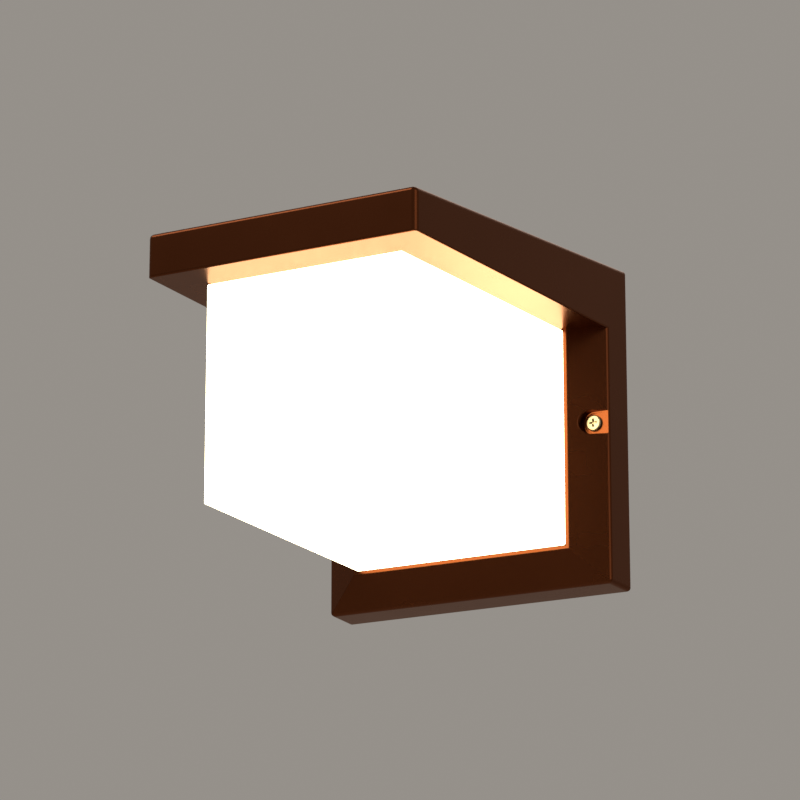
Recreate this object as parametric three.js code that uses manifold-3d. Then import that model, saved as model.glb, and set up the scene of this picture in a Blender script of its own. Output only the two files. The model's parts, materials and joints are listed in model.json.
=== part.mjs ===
// Outdoor wall lantern: a die-cast housing with a canopy and an opal box diffuser, held by two
// captive screws to a wall base that carries the terminal block, an E27 lampholder and its lamp.
// Millimetres, +Z up. The wall is the plane Y = 0 and the lantern stands out from it along -Y.
import * as THREE from "three";
import { mergeVertices } from "three/addons/utils/BufferGeometryUtils.js";
import Module from "manifold-3d";

const wasm = await Module();
wasm.setup();

// ---------------------------------------------------------------- driving dimensions

const GAP = 0.3; // clearance between pieces that touch
const OVER = 1; // how far a cutting tool runs past the faces that it cuts
const FINE = 28; // sides of a large round piece
const PLAIN = 16;
const COARSE = 12;

// shank radii of the screws; the holes that they pass through are GAP wider
const SHANK = {
  fixing: 2.5,
  diffuser: 2,
  earth: 2,
  holder: 1.8,
  holderTerminal: 1.5,
  block: 1.4,
  terminal: 1.1,
};
const hole = (screw) => SHANK[screw] + GAP;

// housing
const WIDTH = 202; // at the wall
const TOP = 104.3; // at the wall
const BOTTOM = -103;
const REACH = 254; // wall to the front of the canopy
const CANOPY_FRONT_WIDTH = 184;
const CANOPY_UNDERSIDE = 60.4;
const CANOPY_FRONT_TOP = 87.6;
const RIM_DEPTH = 25.4; // wall to the outer rim of the front frame
const LAND_DEPTH = 36.4; // wall to the flat land round the diffuser
const LAND_HALF_WIDTH = 76.4;
const LAND_BOTTOM = -80.1;
const CASTING = 3; // wall thickness
const REAR_EDGE = 0.5; // the housing's rear edge stands off the wall
const DRAFT = (WIDTH - CANOPY_FRONT_WIDTH) / 2 / REACH; // sides and bottom, mm per mm
const TOP_FALL = (TOP - CANOPY_FRONT_TOP) / REACH; // the top slopes down to the front
const FRAME_WIDTH = WIDTH / 2 - DRAFT * RIM_DEPTH - LAND_HALF_WIDTH; // rim to land, at the sides
const FRAME_WIDTH_BELOW = LAND_BOTTOM - BOTTOM - DRAFT * RIM_DEPTH;

// window in the housing's front, and the rebate that the diffuser sits in
const WINDOW = { left: -60, right: 60, bottom: -64, top: 47 };
const REBATE_DEPTH = 34; // wall to the rebate's floor
const REBATE_MARGIN = 0.4;

// diffuser
const DIFFUSER_BACK = { left: -74, right: 74, bottom: -77.6, top: 59.9 };
const DIFFUSER_FRONT = { left: -67.2, right: 67.2, bottom: -75.4, top: 59.9 };
const DIFFUSER_FRONT_DEPTH = 226.5;
const DIFFUSER_BACK_DEPTH = 35.6;
const DIFFUSER_WALL = 3;
const GASKET_THICKNESS = 1;
const GASKET_WIDTH = 5.2;
const GASKET_INSET = 0.2;
const CORNER_BLOCK = 14; // side of the block that each diffuser screw bites in
const CORNER_BLOCK_DEPTH = 9;
const CORNER_BLOCK_FLOOR = 1.5; // left ahead of the blind screw hole
const BLOCK_SCREW_INSET = 8.5; // block screw to the diffuser's outer corner
const DIFFUSER_WASHER = { near: 29.7, far: 30.7, radius: 4.5 };

// fixing screws and the pockets they sit in
const FIXING_X = 90;
const POCKET_RADIUS = 7.5;
const POCKET_DEPTH = 25.5; // wall to the pocket's floor
const POCKET_BACKING = 3; // metal left behind and round the pocket
const FIXING_HEAD = 5; // radius
const FIXING_HEAD_HEIGHT = 1.9;
const FIXING_LENGTH = 22.7;
const RETAINER_RADIUS = 4;
const RETAINER_DEPTH = 13.2; // wall to the washer's rear face
const RETAINER_THICKNESS = 1;

// wall base
const BASE_HALF_WIDTH = 95;
const BASE_HALF_HEIGHT = 97;
const BASE_PLATE = 2.5;
const BASE_FLANGE = 2;
const BASE_FLANGE_DEPTH = 8;
const BASE = {
  left: -BASE_HALF_WIDTH,
  right: BASE_HALF_WIDTH,
  bottom: -BASE_HALF_HEIGHT,
  top: BASE_HALF_HEIGHT,
};
const POST = { inner: 82.5, outer: BASE_HALF_WIDTH, half: 8, depth: 22 };
const COUNTERBORE_DEPTH = 12.4; // wall to the counterbore's floor
const RIB = { inner: 33, half: 2 };
const PAD_DEPTH = 8; // wall to the top of the lampholder pad
const WALL_SLOT = { x: 64, z: 72, width: 5.5, length: 15 };
const SEAL = { width: 2.3, depth: 4 };

// cable entry
const ENTRY = { x: 0, z: 66, radius: 8 };
const CABLE_BORE = 3.5; // radius

// lamp and lampholder, all on one axis parallel to Y
const LAMP_Z = -9;
const HOLDER_FLANGE_RADIUS = 23;
const HOLDER_RADIUS = 19.5;
const HOLDER_FLANGE_DEPTH = 14.3;
const HOLDER_MOUTH_DEPTH = 41;
const HOLDER_FLOOR_DEPTH = 17;
const HOLDER_BORE = 14.6;
const HOLDER_LUG = { x: 27, radius: 6 };
const SHELL_THICKNESS = 0.7;
const LAMP_TIP_DEPTH = 18.8;
const LAMP_CONTACT_DEPTH = 20.2;
const LAMP_GLASS_DEPTH = 23.4;
const LAMP_CAP_RADIUS = 13;
const LAMP_CAP_DEPTH = 45;
const LAMP_GLOBE_RADIUS = 30;
const LAMP_NECK_DEPTH = 80;
const LAMP_NECK_RADIUS = 28;
const LED_BOARD = { radius: 24, thickness: 1.6 };
const LAMP_LENGTH = 108;
const GLOBE_WALL = 1.2;

// lampholder terminals
const HOLDER_TERMINAL = { x: 9, z: 17, half: 4, thickness: 0.8 };
const HOLDER_PAD = { left: -34, right: 34, bottom: LAMP_Z - 26, top: HOLDER_TERMINAL.z + 8 };

// terminal block, three poles side by side
const BLOCK = { x: -45, z: 50, pitch: 10, length: 18, depth: 15.8 };
const BLOCK_WIRE_DEPTH = 8; // wall to the middle of the wire holes
const INSERT_HALF = 2.5;
const WIRE_HOLE = 1.6;
const SCREW_WELL = 2.4;
const TERMINAL_SCREW_Z = 4.5; // from the middle of the block
const GROOVE = { half: 0.6, deep: 2 }; // between two poles
const SCREW_BRIDGE = 3.6; // half the length left ungrooved round the block's screw
const LEAD_RADIUS = 1.3;

// earthing screw, its boss on the base, and the tongue under it
const EARTH = { x: 42, z: 50, bossRadius: 5, bossDepth: 6 };
const TONGUE = { near: 6.3, far: 7.3, eye: 4.4, half: 2.2, barrel: 2.3, reach: 14.5 };

// ---------------------------------------------------------------- finishes

const finish = (color, roughness, metalness) =>
  new THREE.MeshStandardMaterial({ color, roughness, metalness });

const brownPaint = finish(0x2f150a, 0.3, 0.2);
const opalAcrylic = finish(0xfff6e6, 0.25, 0);
const siliconeRubber = finish(0xd9d6cf, 0.7, 0);
const blackRubber = finish(0x161616, 0.8, 0);
const rawAluminium = finish(0xa7a9aa, 0.5, 0.9);
const zincSteel = finish(0xc9cccf, 0.35, 1);
const brass = finish(0xc79a4b, 0.35, 1);
const porcelain = finish(0xf1eee6, 0.2, 0);
const whitePlastic = finish(0xeceae4, 0.45, 0);
const nylon = finish(0xe4e1d6, 0.6, 0);
const blackGlass = finish(0x101012, 0.15, 0);
const opalGlobe = finish(0xfffaf0, 0.35, 0);
const liveBrown = finish(0x5a2d16, 0.5, 0);
const neutralBlue = finish(0x1d4fa3, 0.5, 0);
const earthGreen = finish(0x3c9a3c, 0.5, 0);

// ---------------------------------------------------------------- solids

// A closed geometry as a solid that can be cut and joined.
function solid(geometry) {
  const bare = geometry.index ? geometry.toNonIndexed() : geometry.clone();
  bare.deleteAttribute("normal");
  bare.deleteAttribute("uv");
  const merged = mergeVertices(bare, 1e-4);
  return new wasm.Manifold(
    new wasm.Mesh({
      numProp: 3,
      vertProperties: merged.attributes.position.array,
      triVerts: new Uint32Array(merged.index.array),
    }),
  );
}

// A named mesh from a solid.
function mesh(name, shape, material) {
  const { numProp, numVert, vertProperties, triVerts } = shape.getMesh();
  const positions = new Float32Array(numVert * 3);
  for (let i = 0; i < numVert; i++)
    positions.set(vertProperties.subarray(i * numProp, i * numProp + 3), i * 3);
  const geometry = new THREE.BufferGeometry();
  geometry.setAttribute("position", new THREE.BufferAttribute(positions, 3));
  geometry.setIndex(new THREE.BufferAttribute(triVerts, 1));
  geometry.computeVertexNormals();
  const made = new THREE.Mesh(geometry, material);
  made.name = name;
  return made;
}

const join = (...shapes) => shapes.reduce((all, next) => all.add(next));
const cut = (shape, ...tools) => tools.reduce((left, tool) => left.subtract(tool), shape);

// A box between two corners; depths are distances out from the wall.
function box(left, right, nearDepth, farDepth, bottom, top) {
  const shape = new THREE.BoxGeometry(right - left, farDepth - nearDepth, top - bottom);
  shape.translate((left + right) / 2, -(nearDepth + farDepth) / 2, (bottom + top) / 2);
  return solid(shape);
}

// A box whose sides are given in either order.
const boxBetween = (x1, x2, ...rest) => box(Math.min(x1, x2), Math.max(x1, x2), ...rest);

// A turned shape about an axis parallel to Y through (x, z), from [radius, depth] points.
function turned(x, z, outline, segments = PLAIN) {
  const points = outline.map(([radius, depth]) => new THREE.Vector2(radius, -depth));
  if (!THREE.ShapeUtils.isClockWise(points)) points.reverse();
  points.reverse();
  points.push(points[0].clone());
  const shape = new THREE.LatheGeometry(points, segments);
  shape.translate(x, 0, z);
  return solid(shape);
}

const rod = (x, z, radius, nearDepth, farDepth, segments = COARSE) =>
  turned(x, z, [[0, nearDepth], [radius, nearDepth], [radius, farDepth], [0, farDepth]], segments);

const washer = (x, z, inner, outer, nearDepth, farDepth, segments = PLAIN) =>
  turned(
    x,
    z,
    [[inner, nearDepth], [outer, nearDepth], [outer, farDepth], [inner, farDepth]],
    segments,
  );

// A solid from its corners and its flat faces, each face a ring of corner names.
function polyhedron(corners, faces) {
  const positions = [];
  for (const face of faces) {
    const ring = face.map((name) => corners[name]);
    const normal = new THREE.Vector3();
    ring.forEach((point, i) => normal.add(point.clone().cross(ring[(i + 1) % ring.length])));
    const along = ring[1].clone().sub(ring[0]).normalize();
    const across = normal.normalize().clone().cross(along);
    const flat = ring.map((point) => new THREE.Vector2(point.dot(along), point.dot(across)));
    for (const triangle of THREE.ShapeUtils.triangulateShape(flat, []))
      triangle.forEach((i) => positions.push(...ring[i].toArray()));
  }
  const geometry = new THREE.BufferGeometry();
  geometry.setAttribute("position", new THREE.Float32BufferAttribute(positions, 3));
  return solid(geometry);
}

// A solid that tapers from one upright rectangle to another at two depths.
function taper(near, nearDepth, far, farDepth) {
  const corners = {};
  const stations = [["n", near, nearDepth], ["f", far, farDepth]];
  for (const [key, rect, depth] of stations) {
    corners[key + 1] = new THREE.Vector3(rect.left, -depth, rect.bottom);
    corners[key + 2] = new THREE.Vector3(rect.right, -depth, rect.bottom);
    corners[key + 3] = new THREE.Vector3(rect.right, -depth, rect.top);
    corners[key + 4] = new THREE.Vector3(rect.left, -depth, rect.top);
  }
  return polyhedron(corners, [
    ["f1", "f2", "f3", "f4"],
    ["n4", "n3", "n2", "n1"],
    ["n1", "n2", "f2", "f1"],
    ["n2", "n3", "f3", "f2"],
    ["n3", "n4", "f4", "f3"],
    ["n4", "n1", "f1", "f4"],
  ]);
}

const inset = (rect, by) => ({
  left: rect.left + by,
  right: rect.right - by,
  bottom: rect.bottom + by,
  top: rect.top - by,
});

const plate = (rect, nearDepth, farDepth) =>
  box(rect.left, rect.right, nearDepth, farDepth, rect.bottom, rect.top);

const ring = (rect, width, nearDepth, farDepth) =>
  cut(
    plate(rect, nearDepth, farDepth),
    plate(inset(rect, width), nearDepth - OVER, farDepth + OVER),
  );

// ---------------------------------------------------------------- housing

// The housing's form: a plate on the wall with a mitred frame that slopes up to the flat land,
// and a canopy over it. A skin offset inwards gives the cavity.
function housingForm(skin, rearDepth, landDepth) {
  const slope = (LAND_DEPTH - RIM_DEPTH) / FRAME_WIDTH;
  const half = (depth) => WIDTH / 2 - DRAFT * depth - skin;
  const top = (depth) => TOP - TOP_FALL * depth - skin;
  const bottom = (depth) => BOTTOM + DRAFT * depth + skin;
  const front = REACH - skin;
  const underside = CANOPY_UNDERSIDE + skin;
  const rim = RIM_DEPTH - skin * (Math.hypot(1, slope) - slope);
  const run = (landDepth - rim) / slope;
  const landHalf = half(rim) - run;
  const landBottom = bottom(rim) + (run * FRAME_WIDTH_BELOW) / FRAME_WIDTH;
  const corners = {};
  for (const [side, sign] of [["l", -1], ["r", 1]]) {
    const corner = (key, x, depth, z) => {
      corners[side + key] = new THREE.Vector3(sign * x, -depth, z);
    };
    corner("WallBottom", half(rearDepth), rearDepth, bottom(rearDepth));
    corner("WallTop", half(rearDepth), rearDepth, top(rearDepth));
    corner("FrontTop", half(front), front, top(front));
    corner("FrontBottom", half(front), front, underside);
    corner("RimTop", half(rim), rim, underside);
    corner("RimBottom", half(rim), rim, bottom(rim));
    corner("LandTop", landHalf, landDepth, underside);
    corner("LandBottom", landHalf, landDepth, landBottom);
  }
  return polyhedron(corners, [
    ["rWallBottom", "lWallBottom", "lWallTop", "rWallTop"],
    ["lWallTop", "lFrontTop", "rFrontTop", "rWallTop"],
    ["lFrontTop", "lFrontBottom", "rFrontBottom", "rFrontTop"],
    ["lFrontBottom", "lRimTop", "lLandTop", "rLandTop", "rRimTop", "rFrontBottom"],
    ["lWallBottom", "rWallBottom", "rRimBottom", "lRimBottom"],
    ["rWallBottom", "rWallTop", "rFrontTop", "rFrontBottom", "rRimTop", "rRimBottom"],
    ["lWallTop", "lWallBottom", "lRimBottom", "lRimTop", "lFrontBottom", "lFrontTop"],
    ["rRimBottom", "rRimTop", "rLandTop", "rLandBottom"],
    ["lRimTop", "lRimBottom", "lLandBottom", "lLandTop"],
    ["lRimBottom", "rRimBottom", "rLandBottom", "lLandBottom"],
    ["lLandBottom", "rLandBottom", "rLandTop", "lLandTop"],
  ]);
}

// Positions of the four screws that hold the diffuser, by its corners.
const diffuserScrewPlaces = [-1, 1].flatMap((side) =>
  [DIFFUSER_BACK.bottom + BLOCK_SCREW_INSET, DIFFUSER_BACK.top - BLOCK_SCREW_INSET].map((z) => [
    side * (DIFFUSER_BACK.right - BLOCK_SCREW_INSET),
    z,
  ]),
);

function makeHousing() {
  const skinDepth = REBATE_DEPTH - CASTING;
  const outer = housingForm(0, REAR_EDGE, LAND_DEPTH);
  const cavity = housingForm(CASTING, -OVER, skinDepth);
  const backingDepth = POCKET_DEPTH - POCKET_BACKING;
  const backingHalf = POCKET_RADIUS + POCKET_BACKING;
  let shell = cut(outer, cavity);
  for (const side of [-1, 1]) {
    const centre = side * FIXING_X;
    const edge = side * (WIDTH / 2 + OVER);
    const backing = boxBetween(
      centre - side * backingHalf, edge, backingDepth, LAND_DEPTH, -backingHalf, backingHalf,
    );
    shell = join(shell, backing.intersect(outer));
    const mouth = boxBetween(
      centre, edge, POCKET_DEPTH, LAND_DEPTH + OVER, -POCKET_RADIUS, POCKET_RADIUS,
    );
    const scoop = rod(centre, 0, POCKET_RADIUS, POCKET_DEPTH, LAND_DEPTH + OVER, FINE);
    const bore = rod(centre, 0, hole("fixing"), backingDepth - OVER, LAND_DEPTH);
    shell = cut(shell, mouth, scoop, bore);
  }
  const rebate = plate(inset(DIFFUSER_BACK, -REBATE_MARGIN), REBATE_DEPTH, LAND_DEPTH + OVER);
  const window = plate(WINDOW, skinDepth - OVER, LAND_DEPTH + OVER);
  const holes = diffuserScrewPlaces.map(([x, z]) =>
    rod(x, z, hole("diffuser"), skinDepth - OVER, LAND_DEPTH + OVER),
  );
  return cut(shell, rebate, window, ...holes);
}

// ---------------------------------------------------------------- diffuser

function makeDiffuser() {
  const outer = taper(DIFFUSER_BACK, DIFFUSER_BACK_DEPTH, DIFFUSER_FRONT, DIFFUSER_FRONT_DEPTH);
  const hollow = taper(
    inset(DIFFUSER_BACK, DIFFUSER_WALL), DIFFUSER_BACK_DEPTH - OVER,
    inset(DIFFUSER_FRONT, DIFFUSER_WALL), DIFFUSER_FRONT_DEPTH - DIFFUSER_WALL,
  );
  let shape = cut(outer, hollow);
  const blockDepth = DIFFUSER_BACK_DEPTH + CORNER_BLOCK_DEPTH;
  for (const [x, z] of diffuserScrewPlaces) {
    const half = CORNER_BLOCK / 2;
    const block = box(x - half, x + half, DIFFUSER_BACK_DEPTH, blockDepth, z - half, z + half);
    shape = join(shape, block.intersect(outer));
    const holeEnd = blockDepth - CORNER_BLOCK_FLOOR;
    shape = cut(shape, rod(x, z, hole("diffuser"), DIFFUSER_BACK_DEPTH - OVER, holeEnd));
  }
  return shape;
}

function makeDiffuserGasket() {
  const near = REBATE_DEPTH + GAP;
  return ring(inset(DIFFUSER_BACK, GASKET_INSET), GASKET_WIDTH, near, near + GASKET_THICKNESS);
}

// ---------------------------------------------------------------- screws

// A cross recess cut in a head whose face is at the given depth.
function crossRecess(x, z, span, width, faceDepth, recess) {
  const wing = (dx, dz) =>
    box(x - dx / 2, x + dx / 2, faceDepth - recess, faceDepth + OVER, z - dz / 2, z + dz / 2);
  return join(wing(span, width), wing(width, span));
}

// A pan-head screw: the head's bearing face is at headDepth and its shank runs towards the wall.
function panScrew(x, z, { head, height, shank, length, headDepth, segments = PLAIN }) {
  const crown = headDepth + height;
  const outline = [
    [0, headDepth - length],
    [shank * 0.75, headDepth - length],
    [shank, headDepth - length + shank * 0.4],
    [shank, headDepth],
    [head, headDepth],
    [head, headDepth + height * 0.45],
    [head * 0.9, headDepth + height * 0.78],
    [head * 0.62, crown],
    [0, crown],
  ];
  const recess = crossRecess(x, z, head * 1.02, head * 0.24, crown, height * 0.62);
  return cut(turned(x, z, outline, segments), recess);
}

const makeFixingScrew = (side) =>
  panScrew(side * FIXING_X, 0, {
    head: FIXING_HEAD,
    height: FIXING_HEAD_HEIGHT,
    shank: SHANK.fixing,
    length: FIXING_LENGTH,
    headDepth: POCKET_DEPTH + GAP,
    segments: FINE,
  });

const makeRetainingWasher = (side) =>
  washer(
    side * FIXING_X, 0, hole("fixing"), RETAINER_RADIUS,
    RETAINER_DEPTH, RETAINER_DEPTH + RETAINER_THICKNESS,
  );

// The diffuser screws go the other way: heads inside the housing, shanks out into the blocks.
function makeDiffuserScrew([x, z]) {
  const bearing = DIFFUSER_WASHER.near - GAP;
  const crown = bearing - 2.8;
  const tip = bearing + 13.6;
  const outline = [
    [0, crown],
    [2.2, crown],
    [3.6, crown + 1.2],
    [3.8, bearing],
    [SHANK.diffuser, bearing],
    [SHANK.diffuser, tip - 0.6],
    [1.2, tip],
    [0, tip],
  ];
  const wing = (dx, dz) => box(x - dx, x + dx, crown - OVER, crown + 1.5, z - dz, z + dz);
  return cut(turned(x, z, outline), wing(2, 0.45), wing(0.45, 2));
}

function makeDiffuserWasher([x, z]) {
  const { near, far, radius } = DIFFUSER_WASHER;
  return washer(x, z, hole("diffuser"), radius, near, far);
}

// ---------------------------------------------------------------- wall base

// A slot through the base's plate, rounded at both ends.
function wallSlot(x, z) {
  const halfRun = (WALL_SLOT.length - WALL_SLOT.width) / 2;
  const end = WALL_SLOT.width / 2;
  return join(
    box(x - halfRun, x + halfRun, -OVER, BASE_PLATE + OVER, z - end, z + end),
    rod(x - halfRun, z, end, -OVER, BASE_PLATE + OVER),
    rod(x + halfRun, z, end, -OVER, BASE_PLATE + OVER),
  );
}

function makeMountingBase() {
  let base = join(
    plate(BASE, 0, BASE_PLATE),
    ring(BASE, BASE_FLANGE, 0, BASE_FLANGE_DEPTH),
    plate(HOLDER_PAD, 0, PAD_DEPTH),
    rod(EARTH.x, EARTH.z, EARTH.bossRadius, 0, EARTH.bossDepth),
  );
  for (const side of [-1, 1]) {
    const centre = side * FIXING_X;
    const farEnd = POST.depth + OVER;
    const post = boxBetween(
      side * POST.inner, side * POST.outer, 0, POST.depth, -POST.half, POST.half,
    );
    const rib = boxBetween(
      side * RIB.inner, side * (POST.inner + OVER), 0, PAD_DEPTH, -RIB.half, RIB.half,
    );
    base = cut(
      join(base, post, rib),
      rod(centre, 0, hole("fixing"), -OVER, farEnd),
      rod(centre, 0, RETAINER_RADIUS + GAP, COUNTERBORE_DEPTH, farEnd),
      wallSlot(side * WALL_SLOT.x, -WALL_SLOT.z),
      wallSlot(side * WALL_SLOT.x, WALL_SLOT.z),
      rod(side * HOLDER_LUG.x, LAMP_Z, hole("holder"), -OVER, PAD_DEPTH + OVER),
    );
  }
  return cut(
    base,
    rod(ENTRY.x, ENTRY.z, ENTRY.radius, -OVER, BASE_PLATE + OVER, PLAIN),
    rod(EARTH.x, EARTH.z, hole("earth"), -OVER, EARTH.bossDepth + OVER),
    rod(BLOCK.x - BLOCK.pitch / 2, BLOCK.z, hole("block"), -OVER, BASE_PLATE + OVER),
  );
}

const makePerimeterSeal = () =>
  ring(inset(BASE, -GAP - SEAL.width), SEAL.width, 0, SEAL.depth);

// A rubber grommet gripping the plate round the cable entry, with a nipple for the cable.
function makeGrommet() {
  const groove = ENTRY.radius - GAP;
  const lip = ENTRY.radius + 2.6;
  const rear = 0.2;
  const nippleEnd = BASE_PLATE + 8;
  return turned(ENTRY.x, ENTRY.z, [
    [CABLE_BORE, rear],
    [groove, rear],
    [groove, BASE_PLATE + GAP],
    [lip, BASE_PLATE + GAP],
    [lip, BASE_PLATE + 2.2],
    [groove, BASE_PLATE + 3],
    [5.4, BASE_PLATE + 3.4],
    [4.6, nippleEnd],
    [CABLE_BORE, nippleEnd],
  ]);
}

// ---------------------------------------------------------------- terminal block and leads

const poleX = (pole) => BLOCK.x + (pole - 1) * BLOCK.pitch;

function makeTerminalBlock() {
  const { x, z, pitch, length, depth } = BLOCK;
  const halfLength = length / 2;
  const halfChannel = INSERT_HALF + GAP;
  const fixingX = x - pitch / 2;
  let block = box(
    x - 1.5 * pitch, x + 1.5 * pitch, BASE_PLATE + GAP, depth, z - halfLength, z + halfLength,
  );
  for (const pole of [0, 1, 2]) {
    const middle = poleX(pole);
    const channel = box(
      middle - halfChannel, middle + halfChannel,
      BLOCK_WIRE_DEPTH - halfChannel, BLOCK_WIRE_DEPTH + halfChannel,
      z - halfLength - OVER, z + halfLength + OVER,
    );
    const wells = [-1, 1].map((end) =>
      rod(middle, z + end * TERMINAL_SCREW_Z, SCREW_WELL, BLOCK_WIRE_DEPTH, depth + OVER),
    );
    block = cut(block, channel, ...wells);
  }
  const groove = (middle, bottom, top) =>
    box(middle - GROOVE.half, middle + GROOVE.half, depth - GROOVE.deep, depth + OVER, bottom, top);
  return cut(
    block,
    groove(fixingX, z - halfLength - OVER, z - SCREW_BRIDGE),
    groove(fixingX, z + SCREW_BRIDGE, z + halfLength + OVER),
    groove(x + pitch / 2, z - halfLength - OVER, z + halfLength + OVER),
    rod(fixingX, z, hole("block"), 0, depth + OVER),
  );
}

function makeTerminalInsert(pole) {
  const x = poleX(pole);
  const halfLength = BLOCK.length / 2 - 1;
  const insert = box(
    x - INSERT_HALF, x + INSERT_HALF,
    BLOCK_WIRE_DEPTH - INSERT_HALF, BLOCK_WIRE_DEPTH + INSERT_HALF,
    BLOCK.z - halfLength, BLOCK.z + halfLength,
  );
  const wireHole = new THREE.CylinderGeometry(WIRE_HOLE, WIRE_HOLE, BLOCK.length, COARSE);
  wireHole.rotateX(Math.PI / 2);
  wireHole.translate(x, -BLOCK_WIRE_DEPTH, BLOCK.z);
  const tapEnd = BLOCK_WIRE_DEPTH + INSERT_HALF + OVER;
  const taps = [-1, 1].map((end) =>
    rod(x, BLOCK.z + end * TERMINAL_SCREW_Z, hole("terminal"), BLOCK_WIRE_DEPTH, tapEnd),
  );
  return cut(insert, solid(wireHole), ...taps);
}

// A cheese-head screw with a slot across its head.
function slottedScrew(x, z, { head, height, shank, length, headDepth }) {
  const crown = headDepth + height;
  const edge = 0.3;
  const halfSlot = 0.35;
  const outline = [
    [0, headDepth - length],
    [shank, headDepth - length],
    [shank, headDepth],
    [head, headDepth],
    [head, crown - edge],
    [head - edge, crown],
    [0, crown],
  ];
  const reach = head + OVER;
  const slot = box(
    x - reach, x + reach, crown - height * 0.45, crown + OVER, z - halfSlot, z + halfSlot,
  );
  return cut(turned(x, z, outline, COARSE), slot);
}

const terminalScrewPlaces = [0, 1, 2].flatMap((pole) =>
  [-1, 1].map((end) => [poleX(pole), BLOCK.z + end * TERMINAL_SCREW_Z]),
);

const makeTerminalScrew = ([x, z]) =>
  slottedScrew(x, z, {
    head: 2, height: 2, shank: SHANK.terminal, length: 2.5, headDepth: BLOCK_WIRE_DEPTH + 4.4,
  });

const makeBlockScrew = () =>
  panScrew(BLOCK.x - BLOCK.pitch / 2, BLOCK.z, {
    head: 2.9, height: 2.1, shank: SHANK.block, length: BLOCK.depth, headDepth: BLOCK.depth + GAP,
  });

const makeEarthScrew = () =>
  panScrew(EARTH.x, EARTH.z, {
    head: 4, height: 2.9, shank: SHANK.earth, length: 7, headDepth: TONGUE.far + GAP,
  });

// A crimped ring tongue: its eye lies under the earth screw and its barrel points at the block.
function makeEarthTongue() {
  const { near, far, eye, half, barrel, reach } = TONGUE;
  const barrelLength = 7;
  const crimpDepth = near + 1.6;
  const boreLength = barrelLength - 1;
  const barrelEnd = EARTH.x - reach;
  const across = (radius, length, start) => {
    const shape = new THREE.CylinderGeometry(radius, radius, length, COARSE);
    shape.rotateZ(Math.PI / 2);
    shape.translate(start + length / 2, -crimpDepth, EARTH.z);
    return solid(shape);
  };
  const tongue = join(
    rod(EARTH.x, EARTH.z, eye, near, far),
    box(EARTH.x - 9, EARTH.x, near, far, EARTH.z - half, EARTH.z + half),
    across(barrel, barrelLength, barrelEnd),
  );
  return cut(
    tongue,
    across(LEAD_RADIUS + GAP, boreLength, barrelEnd - OVER),
    rod(EARTH.x, EARTH.z, hole("earth"), near - OVER, far + OVER),
  );
}

// An insulated lead along a smooth curve through [x, depth, z] points.
function lead(route, steps = 20) {
  const path = new THREE.CatmullRomCurve3(
    route.map(([x, depth, z]) => new THREE.Vector3(x, -depth, z)), false, "centripetal",
  );
  const section = new THREE.Shape();
  section.absarc(0, 0, LEAD_RADIUS, 0, 2 * Math.PI, false);
  const shape = new THREE.ExtrudeGeometry(section, {
    steps, curveSegments: 4, bevelEnabled: false, extrudePath: path,
  });
  return solid(shape);
}

const blockExit = BLOCK.z - BLOCK.length / 2;
const holderExit = HOLDER_TERMINAL.z + 4.6;

const liveRoute = [
  [poleX(0), 8, blockExit + 2],
  [poleX(0), 8, blockExit - 4],
  [poleX(0) + 5, 8.5, 29],
  [-38, 10, 24.5],
  [-22, 13, 27],
  [-HOLDER_TERMINAL.x - 2, 16, 27],
  [-HOLDER_TERMINAL.x, 16.4, holderExit],
];
const neutralRoute = [
  [poleX(1), 8, blockExit + 2],
  [poleX(1), 8, blockExit - 3],
  [-39, 8.6, 33.5],
  [-22, 11, 33],
  [-4, 14, 34],
  [HOLDER_TERMINAL.x - 1, 16, 29.5],
  [HOLDER_TERMINAL.x, 16.4, holderExit],
];
const earthRoute = [
  [poleX(2), 8, blockExit + 2],
  [poleX(2), 8, blockExit],
  [-30, 7.6, 38.6],
  [-12, 7, 40],
  [8, 7, 45],
  [20, 7.5, 49.5],
  [EARTH.x - 14, 7.9, EARTH.z],
];

// ---------------------------------------------------------------- lampholder

function makeLampholderBody() {
  const rear = PAD_DEPTH + GAP;
  const flange = turned(0, LAMP_Z, [
    [0, rear],
    [HOLDER_FLANGE_RADIUS, rear],
    [HOLDER_FLANGE_RADIUS, HOLDER_FLANGE_DEPTH],
    [HOLDER_RADIUS, HOLDER_FLANGE_DEPTH],
    [HOLDER_RADIUS - 1, HOLDER_MOUTH_DEPTH],
    [HOLDER_BORE, HOLDER_MOUTH_DEPTH],
    [HOLDER_BORE, HOLDER_FLOOR_DEPTH],
    [0, HOLDER_FLOOR_DEPTH],
  ], FINE);
  const { x: lugX, radius: lugRadius } = HOLDER_LUG;
  const lug = (side) => rod(side * lugX, LAMP_Z, lugRadius, rear, HOLDER_FLANGE_DEPTH);
  const web = box(
    -lugX, lugX, rear, HOLDER_FLANGE_DEPTH, LAMP_Z - lugRadius, LAMP_Z + lugRadius,
  );
  const shelfTop = HOLDER_TERMINAL.z + HOLDER_TERMINAL.half;
  const shelf = box(-16, 16, rear, HOLDER_FLANGE_DEPTH, 5, shelfTop);
  const farEnd = HOLDER_FLANGE_DEPTH + OVER;
  const holes = [-1, 1].flatMap((side) => [
    rod(side * lugX, LAMP_Z, hole("holder"), rear - OVER, farEnd),
    rod(side * HOLDER_TERMINAL.x, HOLDER_TERMINAL.z, hole("holderTerminal"), 10, farEnd),
  ]);
  const bore = rod(0, LAMP_Z, HOLDER_BORE, HOLDER_FLOOR_DEPTH, HOLDER_MOUTH_DEPTH + OVER, FINE);
  return cut(join(flange, lug(-1), lug(1), cut(web, bore), cut(shelf, bore)), ...holes);
}

const makeLampholderShell = () =>
  washer(
    0, LAMP_Z, HOLDER_BORE - GAP - SHELL_THICKNESS, HOLDER_BORE - GAP,
    HOLDER_FLOOR_DEPTH + GAP, HOLDER_MOUTH_DEPTH - 1, FINE,
  );

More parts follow.
